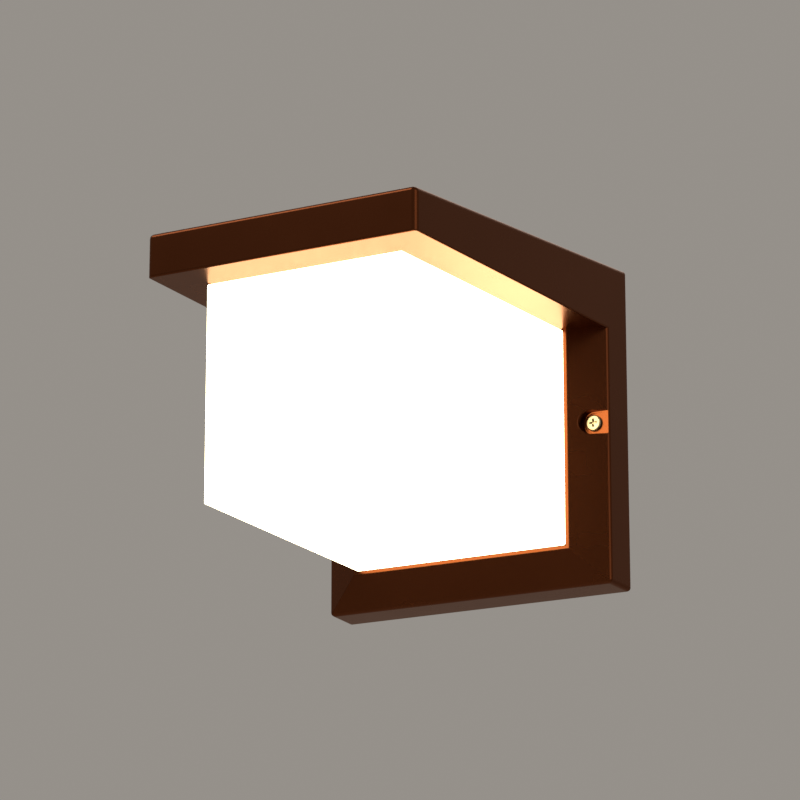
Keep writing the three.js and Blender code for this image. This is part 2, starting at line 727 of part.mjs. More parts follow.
// A springy brass tongue on the floor of the lampholder, under the lamp's tip.
function makeLampholderContact() {
  const half = 3;
  const near = HOLDER_FLOOR_DEPTH + GAP;
  return join(
    box(-9, 5, near, near + 0.5, LAMP_Z - half, LAMP_Z + half),
    rod(0, LAMP_Z, half, near, LAMP_TIP_DEPTH - GAP),
  );
}

const makeLampholderScrew = (side) =>
  panScrew(side * HOLDER_LUG.x, LAMP_Z, {
    head: 3.7, height: 2.6, shank: SHANK.holder, length: 13, headDepth: HOLDER_FLANGE_DEPTH + GAP,
  });

function makeTerminalPlate(side) {
  const { z, half, thickness } = HOLDER_TERMINAL;
  const x = side * HOLDER_TERMINAL.x;
  const near = HOLDER_FLANGE_DEPTH + GAP;
  const far = near + thickness;
  const tab = box(x - half, x + half, near, far, z - half, z + half);
  return cut(tab, rod(x, z, hole("holderTerminal"), near - OVER, far + OVER));
}

const makeHolderTerminalScrew = (side) =>
  slottedScrew(side * HOLDER_TERMINAL.x, HOLDER_TERMINAL.z, {
    head: 2.9,
    height: 2,
    shank: SHANK.holderTerminal,
    length: 5,
    headDepth: HOLDER_FLANGE_DEPTH + HOLDER_TERMINAL.thickness + 2 * GAP,
  });

// ---------------------------------------------------------------- lamp

const makeLampContact = () =>
  turned(0, LAMP_Z, [
    [0, LAMP_TIP_DEPTH],
    [3.6, LAMP_TIP_DEPTH + 0.3],
    [4.8, LAMP_CONTACT_DEPTH],
    [0, LAMP_CONTACT_DEPTH],
  ]);

const makeLampInsulator = () =>
  turned(0, LAMP_Z, [
    [0, LAMP_CONTACT_DEPTH + GAP],
    [5.6, LAMP_CONTACT_DEPTH + GAP],
    [11.6, LAMP_GLASS_DEPTH],
    [0, LAMP_GLASS_DEPTH],
  ]);

function makeLampCap() {
  const near = LAMP_GLASS_DEPTH + GAP;
  return turned(0, LAMP_Z, [
    [0, near],
    [LAMP_CAP_RADIUS - 1.1, near],
    [LAMP_CAP_RADIUS, near + 1.3],
    [LAMP_CAP_RADIUS, LAMP_CAP_DEPTH],
    [0, LAMP_CAP_DEPTH],
  ], FINE);
}

const makeLampBody = () =>
  turned(0, LAMP_Z, [
    [0, LAMP_CAP_DEPTH + GAP],
    [LAMP_CAP_RADIUS + 1, LAMP_CAP_DEPTH + GAP],
    [LAMP_CAP_RADIUS + 1.6, LAMP_CAP_DEPTH + 3],
    [17.5, LAMP_CAP_DEPTH + 13],
    [24, LAMP_CAP_DEPTH + 26],
    [LAMP_NECK_RADIUS, LAMP_NECK_DEPTH],
    [0, LAMP_NECK_DEPTH],
  ], FINE);

function makeLedBoard() {
  const near = LAMP_NECK_DEPTH + GAP;
  return rod(0, LAMP_Z, LED_BOARD.radius, near, near + LED_BOARD.thickness, FINE);
}

// The opal globe: a bowl open towards the lamp's body, closed by a half-ellipse at the front.
function makeLampGlobe() {
  const near = LAMP_NECK_DEPTH + GAP;
  const collar = near + 7;
  const middle = LAMP_NECK_DEPTH + 16;
  const crown = LAMP_TIP_DEPTH + LAMP_LENGTH;
  const steps = 6;
  const dome = (radius, tip) =>
    Array.from({ length: steps + 1 }, (_, i) => {
      const angle = (i / steps) * (Math.PI / 2);
      return [radius * Math.cos(angle), middle + (tip - middle) * Math.sin(angle)];
    });
  const inner = dome(LAMP_GLOBE_RADIUS - GLOBE_WALL, crown - GLOBE_WALL).reverse();
  return turned(0, LAMP_Z, [
    [LAMP_NECK_RADIUS, near],
    [LAMP_NECK_RADIUS + 1.5, collar],
    ...dome(LAMP_GLOBE_RADIUS, crown),
    ...inner,
    [LAMP_NECK_RADIUS + 1.5 - GLOBE_WALL, collar],
    [LAMP_NECK_RADIUS - GLOBE_WALL, near],
  ], FINE);
}

// ---------------------------------------------------------------- assembly

const sides = [["left", -1], ["right", 1]];
const group = (...meshes) => new THREE.Group().add(...meshes);

const wallBase = group(
  mesh("mounting_base", makeMountingBase(), rawAluminium),
  mesh("perimeter_seal", makePerimeterSeal(), blackRubber),
  mesh("cable_grommet", makeGrommet(), blackRubber),
  mesh("terminal_block", makeTerminalBlock(), nylon),
  ...[0, 1, 2].map((pole) => mesh(`terminal_insert_${pole + 1}`, makeTerminalInsert(pole), brass)),
  ...terminalScrewPlaces.map((place, i) =>
    mesh(`terminal_screw_${i + 1}`, makeTerminalScrew(place), zincSteel),
  ),
  mesh("terminal_block_screw", makeBlockScrew(), zincSteel),
  mesh("earth_screw", makeEarthScrew(), zincSteel),
  mesh("earth_tongue", makeEarthTongue(), brass),
  mesh("live_lead", lead(liveRoute), liveBrown),
  mesh("neutral_lead", lead(neutralRoute), neutralBlue),
  mesh("earth_lead", lead(earthRoute), earthGreen),
);

const lampholder = group(
  mesh("lampholder_body", makeLampholderBody(), porcelain),
  mesh("lampholder_shell", makeLampholderShell(), brass),
  mesh("lampholder_contact", makeLampholderContact(), brass),
  ...sides.flatMap(([name, side]) => [
    mesh(`lampholder_screw_${name}`, makeLampholderScrew(side), zincSteel),
    mesh(`lampholder_terminal_${name}`, makeTerminalPlate(side), brass),
    mesh(`lampholder_terminal_screw_${name}`, makeHolderTerminalScrew(side), zincSteel),
  ]),
);

const lamp = group(
  mesh("lamp_contact", makeLampContact(), brass),
  mesh("lamp_insulator", makeLampInsulator(), blackGlass),
  mesh("lamp_cap", makeLampCap(), zincSteel),
  mesh("lamp_body", makeLampBody(), whitePlastic),
  mesh("lamp_led_board", makeLedBoard(), rawAluminium),
  mesh("lamp_globe", makeLampGlobe(), opalGlobe),
);

const cover = group(
  mesh("housing", makeHousing(), brownPaint),
  mesh("diffuser", makeDiffuser(), opalAcrylic),
  mesh("diffuser_gasket", makeDiffuserGasket(), siliconeRubber),
  ...diffuserScrewPlaces.flatMap((place, i) => [
    mesh(`diffuser_screw_${i + 1}`, makeDiffuserScrew(place), zincSteel),
    mesh(`diffuser_washer_${i + 1}`, makeDiffuserWasher(place), zincSteel),
  ]),
);

const fixings = group(
  ...sides.flatMap(([name, side]) => [
    mesh(`fixing_screw_${name}`, makeFixingScrew(side), zincSteel),
    mesh(`retaining_washer_${name}`, makeRetainingWasher(side), nylon),
  ]),
);

const lantern = group(wallBase, lampholder, lamp, cover, fixings);

export default lantern;
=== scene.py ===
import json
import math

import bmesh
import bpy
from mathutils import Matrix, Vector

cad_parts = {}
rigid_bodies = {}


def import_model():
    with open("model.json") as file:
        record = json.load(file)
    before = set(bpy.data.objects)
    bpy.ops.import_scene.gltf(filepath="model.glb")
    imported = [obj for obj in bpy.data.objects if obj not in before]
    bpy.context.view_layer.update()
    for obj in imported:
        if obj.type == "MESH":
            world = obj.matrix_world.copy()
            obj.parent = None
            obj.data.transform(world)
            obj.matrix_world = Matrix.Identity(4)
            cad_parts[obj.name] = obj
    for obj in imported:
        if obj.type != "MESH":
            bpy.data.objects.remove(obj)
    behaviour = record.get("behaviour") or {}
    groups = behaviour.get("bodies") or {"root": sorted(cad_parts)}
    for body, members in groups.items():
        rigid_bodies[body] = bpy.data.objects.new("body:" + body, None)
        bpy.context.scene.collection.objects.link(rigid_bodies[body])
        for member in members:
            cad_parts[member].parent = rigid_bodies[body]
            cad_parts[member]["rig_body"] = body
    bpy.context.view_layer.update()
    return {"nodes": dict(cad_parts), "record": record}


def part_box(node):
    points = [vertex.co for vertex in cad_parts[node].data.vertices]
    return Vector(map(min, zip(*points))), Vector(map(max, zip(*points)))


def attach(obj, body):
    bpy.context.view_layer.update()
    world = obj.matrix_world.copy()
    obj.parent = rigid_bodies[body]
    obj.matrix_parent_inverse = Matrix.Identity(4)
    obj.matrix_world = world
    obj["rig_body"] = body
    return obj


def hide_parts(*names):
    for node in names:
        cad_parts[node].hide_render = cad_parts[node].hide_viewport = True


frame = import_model()

# The looks of an outdoor wall lantern: a painted die-cast housing with a canopy over an opal box
# diffuser, on a wall base that carries the terminals, the lampholder and the lamp.
# Metres, +Z up. The wall is the plane Y = 0, the lantern stands out from it along -Y, and a depth
# is a distance out from the wall.

scene = bpy.context.scene
TAU = 2 * math.pi
MM = 0.001


class Extent:
    """Where a CAD node lies: its sides, its middle, its half width and its depths."""

    def __init__(self, node):
        low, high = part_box(node)
        self.left, self.right = low.x, high.x
        self.bottom, self.top = low.z, high.z
        self.near, self.far = -high.y, -low.y
        self.x = (low.x + high.x) / 2
        self.z = (low.z + high.z) / 2
        self.radius = (high.x - low.x) / 2


# ------------------------------------------------------------------ camera

# The camera stands below the lantern and to its right, and looks up at it.
LOOK = Vector((-0.4775, 0.8365, 0.2687)).normalized()
EYE = Vector((1.0566, -1.9622, -0.5878))


def add_camera():
    data = bpy.data.cameras.new("camera")
    data.sensor_width = 36
    data.lens = 162.6
    camera = bpy.data.objects.new("camera", data)
    camera.location = EYE
    camera.rotation_mode = "QUATERNION"
    camera.rotation_quaternion = LOOK.to_track_quat("-Z", "Y")
    scene.collection.objects.link(camera)
    scene.camera = camera


# ------------------------------------------------------------------ mesh helpers


def thing(mesh):
    """A new object that shows a mesh."""
    made = bpy.data.objects.new("tool", mesh)
    scene.collection.objects.link(made)
    return made


def from_faces(points, faces):
    """An object from its points and faces, with its faces turned outwards."""
    mesh = bpy.data.meshes.new("mesh")
    mesh.from_pydata(points, [], faces)
    work = bmesh.new()
    work.from_mesh(mesh)
    bmesh.ops.recalc_face_normals(work, faces=work.faces)
    work.to_mesh(mesh)
    work.free()
    return thing(mesh)


def settle(obj):
    """Turns an object's modifiers into its mesh."""
    graph = bpy.context.evaluated_depsgraph_get()
    made = bpy.data.meshes.new_from_object(obj.evaluated_get(graph))
    obj.modifiers.clear()
    obj.data = made
    return obj


def combine(operation, obj, *tools):
    """Joins tools to an object or cuts them from it. The tools are used up."""
    for tool in tools:
        step = obj.modifiers.new("step", "BOOLEAN")
        step.operation = operation
        step.solver = "EXACT"
        step.object = tool
    settle(obj)
    for tool in tools:
        bpy.data.objects.remove(tool)
    return obj


def cut(obj, *tools):
    return combine("DIFFERENCE", obj, *tools)


def join(obj, *tools):
    return combine("UNION", obj, *tools)


def soften(obj, width, segments=3):
    """Rounds the edges that turn by more than 30 degrees."""
    bevel = obj.modifiers.new("bevel", "BEVEL")
    bevel.limit_method = "ANGLE"
    bevel.angle_limit = math.radians(30)
    bevel.width = width
    bevel.segments = segments
    bevel.miter_outer = "MITER_ARC"
    return settle(obj)


def loops(rings, closed=False):
    """A skin over rings of points, capped at both ends unless the rings close on themselves."""
    count = len(rings[0])
    points = [point for ring in rings for point in ring]
    faces = []
    spans = len(rings) if closed else len(rings) - 1
    for i in range(spans):
        here, there = i * count, (i + 1) % len(rings) * count
        for k in range(count):
            after = (k + 1) % count
            faces.append((here + k, here + after, there + after, there + k))
    if not closed:
        faces.append(tuple(range(count)))
        faces.append(tuple(range(len(points) - count, len(points))))
    return from_faces(points, faces)


def frustum(near_rect, near, far_rect, far, radius=0.0, segments=3):
    """A solid from one upright rectangle (left, right, bottom, top) to another at two depths."""
    rings = [
        [(l, -d, b), (r, -d, b), (r, -d, t), (l, -d, t)]
        for (l, r, b, t), d in ((near_rect, near), (far_rect, far))
    ]
    made = loops(rings)
    return soften(made, radius, segments) if radius else made


def block(left, right, near, far, bottom, top, radius=0.0):
    rect = (left, right, bottom, top)
    return frustum(rect, near, rect, far, radius)


def grown(rect, by):
    """A rectangle (left, right, bottom, top) grown outwards."""
    left, right, bottom, top = rect
    return (left - by, right + by, bottom - by, top + by)


def rounded(outline, closed, steps=5):
    """An outline of (radius, depth) or (radius, depth, fillet) with its fillets as arcs."""
    corners = [Vector(entry[:2]) for entry in outline]
    made = []
    for i, entry in enumerate(outline):
        corner = corners[i]
        ends_here = not closed and i in (0, len(outline) - 1)
        if ends_here or len(entry) < 3:
            made.append(corner)
            continue
        before = corners[i - 1] - corner
        after = corners[(i + 1) % len(corners)] - corner
        half = before.angle(after) / 2
        reach = min(entry[2] / math.tan(half), 0.49 * before.length, 0.49 * after.length)
        start = corner + before.normalized() * reach
        end = corner + after.normalized() * reach
        for k in range(steps + 1):
            u = k / steps
            shares = ((1 - u) ** 2, 2 * u * (1 - u) * math.sin(half), u * u)
            made.append((start * shares[0] + corner * shares[1] + end * shares[2]) / sum(shares))
    return made


SAME = 1e-6  # points nearer than this are one point
CLOSE = 1e-7  # a slip in the arithmetic, smaller than any real distance
SHARP_ROWS, SOFT_ROWS = 8, 12  # rows of points in each turn of a thread


class Thread:
    """A screw thread between two depths, cut into the surfaces whose radius is listed."""

    def __init__(self, start, end, pitch, height, radii, soft=False):
        self.start, self.end, self.pitch, self.height = start, end, pitch, height
        self.radii, self.soft = radii, soft

    def on(self, point):
        inside = self.start - CLOSE <= point.y <= self.end + CLOSE
        return inside and any(abs(point.x - radius) < SAME for radius in self.radii)

    def refined(self, outline, closed):
        """The outline with rows added all along the thread."""
        made = []
        step = self.pitch / (SOFT_ROWS if self.soft else SHARP_ROWS)
        for i, point in enumerate(outline):
            made.append(point)
            if i == len(outline) - 1 and not closed:
                break
            after = outline[(i + 1) % len(outline)]
            if self.on(point) and self.on(after):
                rows = max(1, round((after - point).length / step))
                made.extend(point.lerp(after, k / rows) for k in range(1, rows))
        return made

    def offset(self, angle, depth):
        phase = (depth / self.pitch - angle / TAU) % 1
        wave = 0.5 - 0.5 * math.cos(TAU * phase) if self.soft else abs(2 * phase - 1)
        fade = min(1, (depth - self.start) / self.pitch, (self.end - depth) / self.pitch)
        return -self.height * wave * max(0, fade)


def lathe(outline, x=0.0, z=0.0, segments=64, thread=None):
    """A turned solid about an axis along Y, from a closed outline or one that ends on the axis."""
    closed = outline[0][0] > 0
    rows = rounded(outline, closed)
    if thread:
        rows = thread.refined(rows, closed)
    points, rings = [], []
    for row in rows:
        if row.x < CLOSE:
            rings.append([len(points)] * segments)
            points.append((x, -row.y, z))
            continue
        rings.append(list(range(len(points), len(points) + segments)))
        threaded = thread is not None and thread.on(row)
        for k in range(segments):
            angle = TAU * k / segments
            radius = row.x + (thread.offset(angle, row.y) if threaded else 0)
            points.append((x + radius * math.cos(angle), -row.y, z + radius * math.sin(angle)))
    faces = []
    for i in range(len(rings) if closed else len(rings) - 1):
        here, there = rings[i], rings[(i + 1) % len(rings)]
        for k in range(segments):
            after = (k + 1) % segments
            corners = (here[k], here[after], there[after], there[k])
            faces.append(tuple(dict.fromkeys(corners)))
    return from_faces(points, faces)


def rod(x, z, radius, near, far, segments=48):
    return lathe([(0, near), (radius, near), (radius, far), (0, far)], x, z, segments)


def band(rect, profile, corner):
    """A closed band round a rectangle, from a profile of (distance inwards, depth) points."""
    steps = 8
    left, right, bottom, top = rect
    quarters = (
        (right - corner, top - corner, 1, 1),
        (left + corner, top - corner, -1, 1),
        (left + corner, bottom + corner, -1, -1),
        (right - corner, bottom + corner, 1, -1),
    )
    rings = []
    for quarter, (x, z, across, up) in enumerate(quarters):
        for k in range(steps + 1):
            angle = (quarter + k / steps) * TAU / 4
            ring = []
            for inwards, depth in profile:
                radius = corner - inwards
                turn = (math.cos(angle), math.sin(angle)) if radius > 0 else (across, up)
                ring.append((x + radius * turn[0], -depth, z + radius * turn[1]))
            rings.append(ring)
    made = loops(rings, closed=True)
    weld = made.modifiers.new("weld", "WELD")
    weld.merge_threshold = SAME
    return settle(made)


# Which knots each step of the Barry-Goldman recursion blends between.
SPLINE_STEPS = (((0, 1), (1, 2), (2, 3)), ((0, 2), (1, 3)), ((1, 2),))


def smooth_route(points):
    """A smooth curve through points: a centripetal Catmull-Rom spline."""
    samples = 14
    points = [Vector(point) for point in points]
    padded = [2 * points[0] - points[1], *points, 2 * points[-1] - points[-2]]
    route = []
    for i in range(len(points) - 1):
        span = padded[i : i + 4]
        knots = [0.0]
        for a, b in zip(span, span[1:]):
            knots.append(knots[-1] + math.sqrt((b - a).length))
        for k in range(samples):
            t = knots[1] + (knots[2] - knots[1]) * k / samples
            level = span
            for pairs in SPLINE_STEPS:
                level = [
                    level[j].lerp(level[j + 1], (t - knots[low]) / (knots[high] - knots[low]))
                    for j, (low, high) in enumerate(pairs)
                ]
            route.append(level[0])
    route.append(points[-1])
    return route


def tube(route, radius):
    """A round bar along a route, with its section carried along without twist."""
    sides = 20
    rings = []
    across = None
    for i, point in enumerate(route):
        ahead = route[min(i + 1, len(route) - 1)]
        behind = route[max(i - 1, 0)]
        along = (ahead - behind).normalized()
        if across is None:
            across = along.orthogonal().normalized()
        across = (across - along * across.dot(along)).normalized()
        other = along.cross(across)
        rings.append(
            [
                point + radius * (across * math.cos(a) + other * math.sin(a))
                for a in (TAU * k / sides for k in range(sides))
            ]
        )
    return loops(rings)


# ------------------------------------------------------------------ materials


class Surface:
    """A material in the making: a Principled shader fed by noise in the part's own space."""

    def __init__(self, name, **sockets):
        self.material = bpy.data.materials.new(name)
        self.material.use_nodes = True
        self.tree = self.material.node_tree
        self.shader = self.tree.nodes["Principled BSDF"]
        for socket, value in sockets.items():
            self.shader.inputs[socket.replace("_", " ")].default_value = value
        self.place = self.node("ShaderNodeTexCoord").outputs["Object"]
        self.normal = None

    def node(self, kind, **inputs):
        made = self.tree.nodes.new(kind)
        for socket, value in inputs.items():
            self.feed(made.inputs[socket.replace("_", " ")], value)
        return made

    def feed(self, socket, value):
        if isinstance(value, bpy.types.NodeSocket):
            self.tree.links.new(value, socket)
        else:
            socket.default_value = value

    def stretched(self, *scale):
        """The part's space, stretched, for marks that run one way."""
        return self.node("ShaderNodeMapping", Vector=self.place, Scale=scale).outputs["Vector"]

    def noise(self, scale, detail=3.0, roughness=0.5, place=None):
        made = self.node(
            "ShaderNodeTexNoise",
            Vector=place or self.place, Scale=scale, Detail=detail, Roughness=roughness,
        )
        return made.outputs["Fac"]

    def specks(self, scale):
        """Distance to the nearest of many scattered points."""
        return self.node("ShaderNodeTexVoronoi", Vector=self.place, Scale=scale).outputs["Distance"]

    def spread(self, value, low, high, start=0.3, end=0.7):
        """A value between start and end spread from low to high."""
        made = self.node("ShaderNodeMapRange", Value=value)
        made.inputs["From Min"].default_value = start
        made.inputs["From Max"].default_value = end
        made.inputs["To Min"].default_value = low
        made.inputs["To Max"].default_value = high
        made.interpolation_type = "SMOOTHSTEP"
        return made.outputs["Result"]

    def blend(self, value, low, high, start=0.3, end=0.7):
        """Two colours, or colour sockets, mixed by a value between start and end."""
        made = self.tree.nodes.new("ShaderNodeMix")
        made.data_type = "RGBA"
        factor, first, second = made.inputs[0], made.inputs[6], made.inputs[7]
        self.feed(factor, self.spread(value, 0, 1, start, end))
        for socket, colour in ((first, low), (second, high)):
            self.feed(socket, colour if isinstance(colour, bpy.types.NodeSocket) else (*colour, 1))
        return made.outputs[2]

    def bump(self, height, distance):
        """Relief of a real height in metres, on top of what is there already."""
        made = self.node("ShaderNodeBump", Height=height, Strength=1.0, Distance=distance)
        if self.normal:
            self.feed(made.inputs["Normal"], self.normal)
        self.normal = made.outputs["Normal"]

    def done(self, colour, roughness, emission=None):
        self.feed(self.shader.inputs["Base Color"], colour)
        self.feed(self.shader.inputs["Roughness"], roughness)
        if self.normal:
            self.feed(self.shader.inputs["Normal"], self.normal)
        if emission:
            self.feed(self.shader.inputs["Emission Color"], emission)
        return self.material


def housing_paint():
    """Dark coffee-brown metallic paint: glossy, over a fine orange peel."""
    s = Surface("housing_paint", Metallic=1.0, Specular_Tint=(1.0, 0.84, 0.76, 1.0))
    tone = s.blend(s.noise(9, 3), (0.094, 0.026, 0.009), (0.110, 0.031, 0.011), 0.2, 0.8)
    grain = s.blend(s.noise(1300, 2), tone, (0.127, 0.038, 0.014), 0.5, 1.0)
    s.bump(s.noise(340, 1), 0.000004)
    return s.done(grain, s.spread(s.noise(30, 2), 0.25, 0.28, 0.2, 0.8))


def opal_acrylic():
    """Opal white acrylic lit from inside, brightest near the lamp."""
    s = Surface("opal_acrylic", Emission_Strength=9.0, IOR=1.49)
    lamp = Extent("lamp_globe")
    middle = (lamp.x, -(lamp.near + lamp.far) / 2, lamp.z)
    away = s.tree.nodes.new("ShaderNodeVectorMath")
    away.operation = "DISTANCE"
    s.feed(away.inputs[0], s.place)
    s.feed(away.inputs[1], middle)
    glow = s.blend(away.outputs["Value"], (1.0, 0.84, 0.52), (0.66, 0.58, 0.36), 0.07, 0.155)
    cloud = s.blend(s.noise(240, 4), glow, (1.0, 0.87, 0.56), 0.45, 1.2)
    s.bump(s.noise(1800, 2), 0.000006)
    tone = s.blend(s.noise(60, 3), (0.86, 0.82, 0.74), (0.92, 0.89, 0.82))
    return s.done(tone, s.spread(s.noise(90, 3), 0.28, 0.4), cloud)


def opal_globe():
    s = Surface("opal_globe", Emission_Strength=5.0, IOR=1.58)
    s.bump(s.noise(2400, 2), 0.000008)
    tone = s.blend(s.noise(120, 3), (0.86, 0.83, 0.76), (0.92, 0.90, 0.84))
    glow = s.blend(s.noise(160, 3), (1.0, 0.64, 0.30), (1.0, 0.70, 0.36))
    return s.done(tone, s.spread(s.noise(200, 2), 0.38, 0.5), glow)


def rubber(name, dark, pale, low, high):
    """Moulded rubber: matt, with a fine grain and a little dust."""
    s = Surface(name, IOR=1.52)
    tone = s.blend(s.noise(110, 4), dark, pale)
    dusty = s.blend(s.noise(900, 3), tone, tuple(min(1, c * 1.5 + 0.01) for c in pale), 0.6, 0.85)
    s.bump(s.noise(2600, 3), 0.00003)
    return s.done(dusty, s.spread(s.noise(400, 3), low, high))


def cast_metal():
    """Unpainted die-cast aluminium: dull and faintly pitted, with flow marks."""
    s = Surface("raw_aluminium", Metallic=0.9)
    tone = s.blend(s.noise(70, 5, 0.6), (0.42, 0.425, 0.43), (0.50, 0.505, 0.51))
    flow = s.blend(s.noise(90, 5, 0.6, s.stretched(1, 1, 0.2)), tone, (0.56, 0.56, 0.56), 0.5, 0.9)
    pitted = s.blend(s.specks(900), (0.30, 0.30, 0.305), flow, 0.02, 0.14)
    s.bump(s.noise(1400, 4), 0.00002)
    s.bump(s.specks(900), 0.000012)
    return s.done(pitted, s.spread(s.noise(130, 4), 0.42, 0.52))


def bright_metal(name, dark, pale, low, high, scratch=900):
    """Plated or plain metal with fine scratches and a slight tarnish."""
    s = Surface(name, Metallic=1.0)
    tone = s.blend(s.noise(160, 4, 0.6), dark, pale)
    lines = s.noise(scratch, 3, 0.6, s.stretched(1, 0.12, 0.12))
    s.bump(lines, 0.000006)
    s.bump(s.noise(2200, 2), 0.000004)
    return s.done(tone, s.spread(s.noise(300, 4), low, high))


def porcelain():
    """Glazed porcelain: slightly uneven glaze with a few iron specks."""
    s = Surface("porcelain", Coat_Weight=0.8, Coat_Roughness=0.06, IOR=1.55)
    tone = s.blend(s.noise(60, 4), (0.70, 0.67, 0.60), (0.82, 0.80, 0.74))
    speckled = s.blend(s.specks(420), (0.38, 0.32, 0.24), tone, 0.03, 0.09)
    s.bump(s.noise(180, 2), 0.00006)
    return s.done(speckled, s.spread(s.noise(120, 3), 0.16, 0.28))


def moulded(name, dark, pale, low=0.38, high=0.5, grain=0.000012):
    """Moulded plastic: even colour, a fine satin texture and faint flow clouds."""
    s = Surface(name, IOR=1.5)
    tone = s.blend(s.noise(40, 4), dark, pale)
    s.bump(s.noise(1700, 3), grain)
    s.bump(s.noise(160, 2), 0.00002)
    return s.done(tone, s.spread(s.noise(220, 3), low, high))


def earth_insulation():
    """Green insulation with a yellow stripe that winds round the lead."""
    s = Surface("earth_insulation", IOR=1.5)
    wave = s.node("ShaderNodeTexWave", Vector=s.place, Scale=70.0, Distortion=1.5, Detail=1.0)
    striped = s.blend(wave.outputs["Fac"], (0.035, 0.24, 0.04), (0.72, 0.62, 0.03), 0.55, 0.62)
    shaded = s.blend(s.noise(300, 3), striped, (0.03, 0.10, 0.03), 0.55, 1.1)
    s.bump(s.noise(1500, 3), 0.000012)
    return s.done(shaded, s.spread(s.noise(260, 3), 0.36, 0.5))


def led_board():
    """White solder mask over aluminium, with tracks just visible."""
    s = Surface("led_board", Metallic=0.1)
    cells = s.node("ShaderNodeTexBrick", Vector=s.place, Scale=160.0)
    tracks = s.blend(cells.outputs["Fac"], (0.76, 0.77, 0.74), (0.58, 0.60, 0.57), 0.4, 0.6)
    s.bump(s.noise(900, 3), 0.00001)
    return s.done(tracks, s.spread(s.noise(300, 3), 0.35, 0.5))


MATERIALS = {
    "housing_paint": housing_paint(),
    "opal_acrylic": opal_acrylic(),
    "opal_globe": opal_globe(),
    "silicone": rubber("silicone", (0.52, 0.50, 0.46), (0.66, 0.64, 0.60), 0.5, 0.65),
    "black_rubber": rubber("black_rubber", (0.010, 0.010, 0.010), (0.024, 0.024, 0.023), 0.6, 0.8),
    "raw_aluminium": cast_metal(),
    "led_board": led_board(),
    "porcelain": porcelain(),
    "brass": bright_metal("brass", (0.52, 0.34, 0.12), (0.70, 0.50, 0.21), 0.2, 0.4),
    "nickel_plate": bright_metal("nickel_plate", (0.50, 0.48, 0.45), (0.66, 0.64, 0.60), 0.14, 0.3),
    "stainless_screw": bright_metal(
        "stainless_screw", (0.30, 0.26, 0.17), (0.38, 0.33, 0.22), 0.4, 0.52, 1400
    ),
    "zinc_steel": bright_metal("zinc_steel", (0.42, 0.43, 0.46), (0.62, 0.63, 0.64), 0.26, 0.44),
    "nylon": moulded("nylon", (0.66, 0.63, 0.55), (0.76, 0.74, 0.67)),
    "lamp_plastic": moulded("lamp_plastic", (0.74, 0.74, 0.72), (0.82, 0.82, 0.80), 0.3, 0.42),
    "black_glass": moulded("black_glass", (0.006, 0.006, 0.007), (0.016, 0.016, 0.018), 0.06, 0.14),
    "live_insulation": moulded("live_insulation", (0.075, 0.026, 0.012), (0.115, 0.045, 0.02)),
    "neutral_insulation": moulded(
        "neutral_insulation", (0.012, 0.06, 0.27), (0.02, 0.10, 0.40)
    ),
    "earth_insulation": earth_insulation(),
}

SLOT_OF = {row["node"]: row["material_slot"] for row in frame["record"]["subparts"]}


def mend(mesh):
    """Splits a mesh's many-sided faces into triangles, and takes out faces without an area."""
    work = bmesh.new()
    work.from_mesh(mesh)
    many_sided = [face for face in work.faces if len(face.verts) > 4]
    bmesh.ops.triangulate(work, faces=many_sided)
    bmesh.ops.dissolve_degenerate(work, dist=CLOSE, edges=work.edges)
    work.to_mesh(mesh)
    work.free()


def piece(obj, node, suffix, sharp=35):
    """Names a finished shape, paints it, and lets it stand for its CAD node on its body."""
    obj.name = f"{node}_{suffix}"
    mesh = obj.data
    if not mesh.materials:
        mend(mesh)
        mesh.materials.append(MATERIALS[SLOT_OF[node]])
        mesh.shade_smooth()
        mesh.set_sharp_from_angle(angle=math.radians(sharp))
    normals = obj.modifiers.new("normals", "WEIGHTED_NORMAL")
    normals.keep_sharp = True
    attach(obj, frame["nodes"][node]["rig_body"])
    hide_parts(node)


def keep(node, radius, segments=2):
    """Shows a CAD node in its own shape, with its edges rounded and its material set."""
    obj = frame["nodes"][node]
    obj.data.materials.clear()
    obj.data.materials.append(MATERIALS[SLOT_OF[node]])
    obj.modifiers.new("weld", "WELD").merge_threshold = SAME
    flat = obj.modifiers.new("flat", "DECIMATE")
    flat.decimate_type = "DISSOLVE"
    flat.angle_limit = math.radians(1)
    bevel = obj.modifiers.new("bevel", "BEVEL")
    bevel.width = radius
    bevel.segments = segments
    bevel.angle_limit = math.radians(40)
    obj.modifiers.new("slivers", "WELD").merge_threshold = radius / 6


# ------------------------------------------------------------------ housing

housing = Extent("housing")
diffuser = Extent("diffuser")

DRAFT = 0.0354  # sides and bottom lean in, per metre of depth
SKIN = 0.003  # the casting's wall thickness
RIM_DEPTH = 0.0254  # where the plate's sides end and the frame starts to slope
LAND_DEPTH = 0.0364  # where the slope ends in a flat land round the diffuser
LAND_HALF = 0.0764
LAND_BOTTOM = -0.0801
UNDERSIDE = 0.0604  # height of the canopy's lower face
CANOPY_TOP = 0.0876  # height of the canopy's top at its front
REBATE_DEPTH = 0.034  # floor of the recess that the diffuser sits in
REBATE_MARGIN = 0.0004
WINDOW = (-0.060, 0.060, -0.064, 0.047)  # left, right, bottom and top of the light's opening
POCKET_RADIUS = 0.0075
POCKET_DEPTH = 0.0255  # floor of the pocket for a fixing screw
POCKET_BACKING = 0.003  # metal behind that floor and round the pocket
POCKET_LIP = 0.0006
POCKET_FILLET = 0.0008
FIXING_HOLE = 0.0028  # radius of the hole that a fixing screw's shank runs in
DIFFUSER_SCREW_HOLE = 0.0023
OVER = 0.001  # how far a cutting tool reaches past what it cuts

FRAME_SLOPE = (LAND_DEPTH - RIM_DEPTH) / (housing.right - DRAFT * RIM_DEPTH - LAND_HALF)

